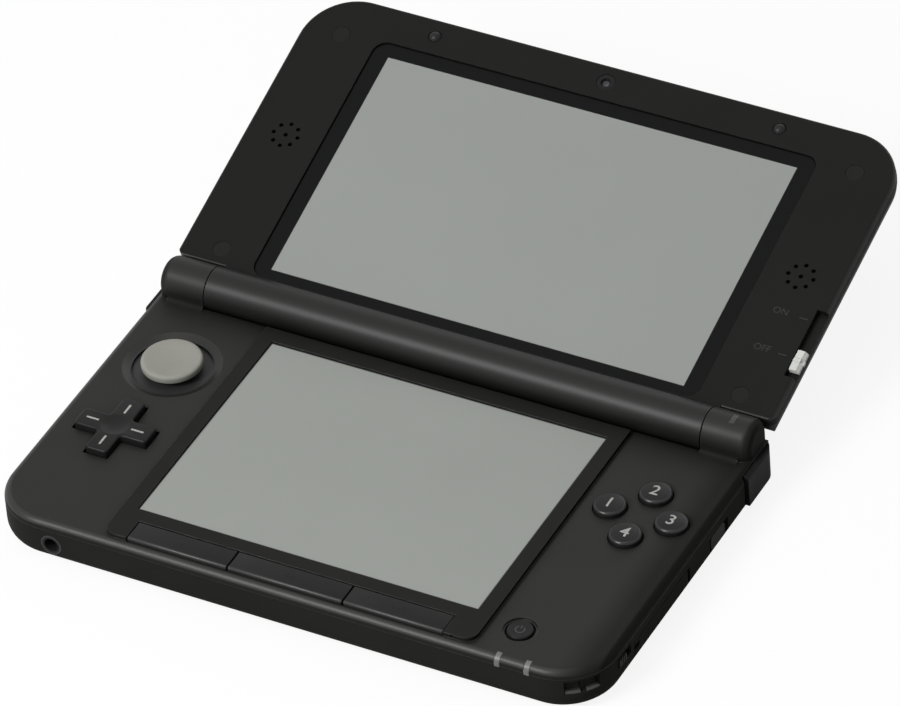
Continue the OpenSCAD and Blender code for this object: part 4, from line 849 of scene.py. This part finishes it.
def lettering(name, text, height, place, thick=0.3, lift=0.02, settle=None):
    """Characters as a thin inlay, cut finely enough to follow a curved top."""
    curve = bpy.data.curves.new(name, "FONT")
    curve.body = text
    curve.size = height / capital_share
    curve.align_x = "CENTER"
    curve.offset = stroke_share * height
    curve.resolution_u = 4
    holder = bpy.data.objects.new(name, curve)
    bpy.context.collection.objects.link(holder)
    flat = plain_mesh(holder, name + "_flat")
    shape = bmesh.new()
    shape.from_mesh(flat.data)
    bpy.data.objects.remove(flat)
    bmesh.ops.remove_doubles(shape, verts=shape.verts, dist=1e-4)
    xs = [v.co.x for v in shape.verts]
    ys = [v.co.y for v in shape.verts]
    middle = Vector(((min(xs) + max(xs)) / 2, (min(ys) + max(ys)) / 2, 0))
    for v in shape.verts:
        v.co -= middle
    if settle:
        for k in range(-cuts_each_way, cuts_each_way + 1):
            for axis in ((1, 0, 0), (0, 1, 0)):
                everything = shape.verts[:] + shape.edges[:] + shape.faces[:]
                bmesh.ops.bisect_plane(shape, geom=everything, dist=1e-5,
                                       plane_co=Vector(axis) * (k * cut_step), plane_no=axis)
    top = bmesh.ops.extrude_face_region(shape, geom=shape.faces[:])
    raised = [v for v in top["geom"] if isinstance(v, bmesh.types.BMVert)]
    for v in shape.verts:
        v.co.z = (settle(v.co.xy.length) if settle else 0) - thick
    for v in raised:
        v.co.z += thick + lift
    return made(name, [shape], place, sharp=30)


button_plastic = Finish("button_plastic", (0.0120, 0.0120, 0.0120), 0.32, sheen=0.16)
button_plastic.mottled(3, 0.06, 0.06).grained(0.1, 0.0015)
button_plastic.polished(button_plastic.zone("Z", *dome_sides, 0.08), 0.34, 0.30)
for number, (side, turn) in enumerate((("left", 180), ("top", 90), ("right", 0), ("bottom", 270))):
    centre = arc(*button_centre, button_ring, [turn])[0]
    body = [(0, 9.5), (4.5, 9.5), (4.6, 9.6), (4.6, 10.1), (4.5, 10.2), (3.9, 10.25), (3.9, 12.45)]
    body += arc(3.1, 12.45, 0.8, range(10, 81, 10), 0.83)
    body += [(radius, dome_height(radius)) for radius in (3.0, 2.6, 2.2, 1.7, 1.2, 0.7, 0.3)]
    body.append((0, button_top))
    name = "face_button_" + side
    fit(made(name + "_dome", [turned(body, 72, centre)], sharp=50), name, "keys", button_plastic, name)
    digit = lettering(name + "_number", str(number + 1), digit_height, place_mm(*centre, 0),
                      settle=dome_height)
    fit(digit, name, "pale_plastic", inlay)


# Power button. A small flat round button in the front right of the deck, sunk in a ring, with a plain
# standby symbol pressed in and filled.
power_centre = (54.9, -35.8)
mark_low = 11.7
mark_top = 11.86
ring_opening = 38


def stood_round(profile, centre, degrees):
    """Copies of a profile of (radius, height) pairs, stood at angles round an upright axis."""
    turns = [math.radians(t) for t in degrees]
    return [[(centre[0] + r * math.cos(t), centre[1] + r * math.sin(t), z) for r, z in profile]
            for t in turns]


body = [(0, 9.8), (4.05, 9.8), (4.15, 9.9), (4.15, 10.4), (4.05, 10.5), (3.1, 10.5), (3.1, 11.5)]
body += arc(2.75, 11.5, 0.35, range(15, 91, 15), 0.4) + [(2.5, 11.88), (1.5, 11.84), (0, 11.83)]
fit(made("power_button_cap", [turned(body, 64, power_centre)], sharp=50),
    "power_button", "keys", key_plastic, "power_button")
ring = [(0.95, mark_low), (1.2, mark_low), (1.2, mark_top), (0.95, mark_top)]
ring_turns = [90 + ring_opening + (360 - 2 * ring_opening) * i / 24 for i in range(25)]
arc_rings = stood_round(ring, power_centre, ring_turns)
stroke = stacked(lambda inset: rectangle(0.24, 1.0, 0.1, (power_centre[0], power_centre[1] + 0.85)),
                 [(0, mark_low), (0, mark_top)])
symbol = Finish("faint_mark", (0.060, 0.060, 0.058), 0.5, sheen=0.2)
symbol.mottled(0.8, 0.08, 0.06)
fit(made("standby_symbol", [lofted(arc_rings), stroke]), "power_button", "slider_plastic", symbol)


# Lights. Two small light guides in the front edge and one let into the right knuckle of the hinge, in
# milky plastic so that the lamp behind each spreads evenly.
milkiness = 0.3
scatter = 0.6 * mm
for name, tone, piece in (("light_guide", 0.15, "indicator_lights"),
                          ("notice_guide", 0.05, "notification_light")):
    guide = Finish(name, (tone, tone, tone * 0.95), 0.35, sheen=0.25)
    guide.mottled(1.5, 0.06, 0.05).eased(0.06)
    guide.shader.inputs["Subsurface Weight"].default_value = milkiness
    guide.shader.inputs["Subsurface Radius"].default_value = (scatter, scatter, scatter)
    dress(guide, piece)


# Sockets and windows in the case. The headphone socket with its dark ring, the charging socket with
# its contacts, the infrared window, the two gold cradle contacts and the microphone.
dress(black_plastic, "headphone_jack", "microphone")
ring_profile = [(2.45, 0), (2.72, 0), (2.72, 0.5), (1.85, 0.5), (1.85, 0.25), (2.2, 0.06)]
rings = stood_round(ring_profile, (0, 0), [360 * i / 64 for i in range(64)])


def looped(sections):
    """A closed ring skinned through sections that come back to the first."""
    shape = bmesh.new()
    loops = [[shape.verts.new(point) for point in section] for section in sections]
    for k, loop in enumerate(loops):
        following = loops[(k + 1) % len(loops)]
        for i in range(len(loop)):
            j = (i + 1) % len(loop)
            shape.faces.new((loop[i], loop[j], following[j], following[i]))
    return shape


headphone_place = (-60.5, -46.55, 5.6)
facing_front = place_mm(*headphone_place) @ Matrix.Rotation(math.radians(-90), 4, "X")
fit(made("headphone_ring", [looped(rings)], facing_front), "base", "black_plastic", skirt_plastic)
dress(steel_frame, "charging_jack", "shoulder_pins")
dark_window = Finish("infrared_window", (0.016, 0.005, 0.007), 0.12, sheen=0.5)
dark_window.mottled(4, 0.1, 0.03).eased(0.1)
dress(dark_window, "infrared_window")
gold = Finish("gold_plate", (0.70, 0.48, 0.16), 0.28, metal=1)
gold.mottled(1.5, 0.08, 0.08).eased(0.08).grained(0.06, 0.002)
dress(gold, "cradle_contacts")


# Strap loop. The slot in the front right corner, in two halves round a pillar. A moulded lining closes
# each half a little way in, with a sloping sill that leads the strap's cord out. It is a press fit.
strap_plastic = Finish("strap_plastic", (0.0170, 0.0170, 0.0160), 0.45, sheen=0.06)
strap_plastic.mottled(3, 0.06, 0.05).eased(0.1).grained(0.12, 0.003)
sill_heights = (5.2, 6.0)
strap_plastic.polished(strap_plastic.zone("Z", *sill_heights, 0.1), 0.6, 0.36)
corner_centre = (64.4, -32.9)
sill = [(11.05, 5.32), (13.40, 5.32), (13.30, 5.50), (12.80, 5.85), (12.10, 6.10), (11.80, 6.50),
        (11.75, 8.98), (11.05, 8.98)]
for number, (start, stop) in enumerate(((-63.5, -48.0), (-42.0, -27.5))):
    sections = stood_round(sill, corner_centre, [start + (stop - start) * i / 8 for i in range(9)])
    fit(made("strap_lining_%d" % (number + 1), [lofted(sections)], sharp=30), "base", "case", strap_plastic)


# Card sockets. Pressed steel boxes on the main board, the rear one with a row of gold spring contacts
# for the game card, the side one for the small memory card behind its door.
dress(steel_frame, "game_card_socket", "memory_card_socket")
dress(black_plastic, "memory_card")
dress(case_plastic, "memory_card_door")
contact_count = 17
contact_step = 1.6
contact_middle = -33
spring_path = [(10.2, 7.2), (12, 7.2), (14.5, 6.4), (16.5, 6.1), (18, 6.35)]
spring_half = 0.35
spring_thick = 0.15
spring = made("spring", [lofted([[(-spring_half, y, z), (spring_half, y, z),
                                  (spring_half, y, z + spring_thick), (-spring_half, y, z + spring_thick)]
                                 for y, z in spring_path])])
first = (contact_middle - contact_step * (contact_count - 1) / 2, 0, 0)
fit(row("game_card_contacts", spring, contact_count, first, (contact_step, 0, 0), gold),
    "base", "gold_contact", gold)


# Slide switches. The volume slider on the left and the wireless switch on the right, ridged nubs that
# stand a little proud of the wall, with the volume control's own small board behind.
switch_plastic = Finish("switch_plastic", (0.016, 0.016, 0.0165), 0.45, sheen=0.10)
switch_plastic.mottled(2, 0.06, 0.05).eased(0.12).grained(0.1, 0.002).worn((0.04, 0.04, 0.04))
dress(switch_plastic, "volume_slider", "wireless_switch")


# Shoulder buttons. Curved keys in the two rear corners that pivot on steel pins at their inner ends.
shoulder_plastic = Finish("shoulder_plastic", (0.0130, 0.0130, 0.0130), 0.42, sheen=0.05)
shoulder_plastic.mottled(8, 0.05, 0.05).eased(0.25).grained(0.15, 0.002).worn((0.07, 0.07, 0.072))
dress(shoulder_plastic, "shoulder_button_left", "shoulder_button_right")


# Stylus. A slim pen of black plastic that slides into a tube under the deck from the right side, its
# tail shaped to fill the wall.
dress(black_plastic, "stylus", "stylus_tube")


# Hinge. A steel click unit in the right knuckle and a steel bush in the left one, with the copper
# ribbon of the lid's cable led through the bush.
ribbon = Finish("ribbon_cable", (0.40, 0.17, 0.045), 0.4, sheen=0.4)
ribbon.mottled(2, 0.1, 0.06)
dress(steel_frame, "hinge_click_unit", "hinge_bush")
dress(ribbon, "flex_cable")


# Electronics. The green main board with its chips, the key board and the volume board, the rubber
# membranes that spring the buttons back, and the wrapped battery.
lacquer = Finish("board_lacquer", (0.016, 0.105, 0.052), 0.35, sheen=0.4)
lacquer.mottled(3, 0.12, 0.06).eased(0.05)
dress(lacquer, "main_board", "menu_key_switches", "volume_board")
wrap = Finish("battery_wrap", (0.045, 0.050, 0.065), 0.32, sheen=0.4)
wrap.mottled(9, 0.08, 0.06).eased(0.4)
dress(wrap, "battery")
rubber = Finish("grey_rubber", (0.05, 0.05, 0.05), 0.7, sheen=0.25)
rubber.mottled(3, 0.08, 0.05).eased(0.1)
dress(rubber, "dpad_membrane", "button_membrane")
chip_black = Finish("chip_resin", (0.020, 0.020, 0.021), 0.55, sheen=0.3)
chip_black.mottled(1.5, 0.1, 0.05)
solder = Finish("solder", (0.55, 0.55, 0.53), 0.3, metal=1)
solder.mottled(0.5, 0.1, 0.1)
leg_outline = [(0, 7.82), (0.7, 7.82), (0.7, 7.95), (0, 8.3)]
leg_half = 0.2
leg_step = 1.0
leg_room = 1.1
chip_margin = 0.6
for number, (x, y, wide, deep) in enumerate(((22, -8, 14, 14), (22, 14, 12, 9), (-26, -24, 9, 9))):
    chip = "chip_%d_legs_" % (number + 1)
    shell = stacked(lambda inset: rectangle(wide - chip_margin - 2 * inset, deep - chip_margin - 2 * inset,
                                            0.3, (x, y)), [(0, 8.78), (0, 8.82), (0.1, 8.86)])
    fit(made("chip_top_%d" % (number + 1), [shell]), "base", "black_plastic", chip_black)
    for side, end in ((-1, "left"), (1, "right")):
        count = int(deep / leg_room)
        halves = [[(side * a, b, z) for a, z in leg_outline] for b in (-leg_half, leg_half)]
        leg = made("leg", [lofted(halves)])
        start = (x + side * wide / 2, y - leg_step * (count - 1) / 2, 0)
        fit(row(chip + end, leg, count, start, (0, leg_step, 0), solder), "base", "steel", solder)


# Lid frame. The inner face of the lid with the hinge barrel along its near edge, in a matt charcoal a
# little darker than the deck, drilled for the speakers and let in for the lens.
lid_plastic = Finish("lid_plastic", (0.0105, 0.0105, 0.0100), 0.50, sheen=0.07)
# Painted shade: ambient occlusion darkens the colour where the lid is closed in, as round the barrel.
lid_plastic.mottled(20, 0.05, 0.04).shaded(4, 0.5)
lid_plastic.eased(0.18).grained(0.16, 0.004).worn((0.05, 0.05, 0.051))
barrel_ends = (30, 45.6)
edge_heights = (-0.45, 0.26)
barrel = lid_plastic.zone("Y", *barrel_ends, 0.5)
on_lid = lid_plastic.turned_coords(hinge_axis, lid_lean)
lid_edge = lid_plastic.zone("Z", *edge_heights, 0.08, on_lid)
lid_plastic.polished(lid_plastic.math("MAXIMUM", barrel, lid_edge), 0.22, 0.41)
dress(lid_plastic, "lid_frame")


# Upper screen. A clear lens set flush in the lid, printed dark round the picture area from behind, in
# front of the wide display.
lens_face = Finish("lens_face", (0.292, 0.306, 0.292), 0.30, sheen=0.05)
lens_face.mottled(30, 0.012, 0.01)
lens_window = (108.0, 64.6)
window_middle = 41.3
lens_depth = -0.1
lens_middle = lid_place @ Vector((0, window_middle * mm, lens_depth * mm)) / mm
lens_border = (0.0072, 0.0075, 0.0073)
windowed(lens_face, lens_window, lens_middle, lid_lean, lens_border)
dress(lens_face, "lid_lens")


# Lid fittings. Two speakers behind their rings of holes, the inner camera, the soft bumpers that meet
# the deck when shut, and the round caps that hide the screws.
speaker_cone = Finish("speaker_cone", (0.05, 0.05, 0.05), 0.7)
speaker_cone.mottled(2, 0.1, 0.05)
dress(speaker_cone, "speakers")
dress(black_plastic, "inner_camera")
bead = [(0, -0.9), (1.15, -0.9), (1.15, -0.75), (1.1, -0.72)]
bead += arc(0, -0.72, 1.1, range(15, 90, 15), 0.3) + [(0, -0.42)]
lid_face = 0.4
camera_place = lid_place @ place_mm(0, 82.3, lid_face)
camera_glass = Finish("camera_glass", (0.010, 0.010, 0.014), 0.08, sheen=0.6)
camera_glass.mottled(1, 0.1, 0.02)
fit(made("inner_camera_lens", [turned(bead, 48)], camera_place), "lid", "lens", camera_glass)
bumper_rubber = Finish("bumper_rubber", (0.010, 0.010, 0.010), 0.40, sheen=0.2)
bumper_rubber.mottled(1, 0.08, 0.05)
dress(bumper_rubber, "lid_bumpers")
cap_plastic = Finish("cap_plastic", (0.0115, 0.0115, 0.0110), 0.46, sheen=0.09)
cap_plastic.mottled(2, 0.06, 0.05).eased(0.25).grained(0.12, 0.003).worn((0.05, 0.05, 0.051))
dress(cap_plastic, "screw_caps")


# Lid cover. The outer shell of the lid with softly rounded sides and the two outer cameras side by
# side near its far edge.
cover_plastic = Finish("cover_plastic", (0.0200, 0.0200, 0.0210), 0.40, sheen=0.2)
cover_plastic.mottled(22, 0.05, 0.05).eased(0.2).grained(0.2, 0.003).worn((0.055, 0.055, 0.056))
dress(cover_plastic, "lid_cover")
dress(black_plastic, "outer_cameras")


# Depth slider. A white thumb piece in the lid's right edge, with ON and OFF and a short index line
# for each printed beside its channel.
dress(pale_plastic, "depth_slider")
print_ink = Finish("print_ink", (0.030, 0.030, 0.030), 0.5, sheen=0.12)
print_ink.mottled(0.6, 0.1, 0.05)
word_height = 1.8
ink_low = 0.05
ink_top = 0.012
for name, text, x, s, line_x in (("on", "ON", 67.2, 34.9, 73.2), ("off", "OFF", 67.3, 24.2, 72.6)):
    place = lid_place @ place_mm(x, s, lid_face)
    fit(lettering(name + "_print", text, word_height, place, ink_low, ink_top),
        "lid", "slider_plastic", print_ink)
    line = stacked(lambda inset: rectangle(2.2 - 2 * inset, 0.3 - 2 * inset, 0.1, (line_x, s - 0.4)),
                   [(0, lid_face - ink_low), (0, lid_face + 0.01), (0.01, lid_face + ink_top)])
    fit(made(name + "_index_line", [line], lid_place), "lid", "slider_plastic", print_ink)
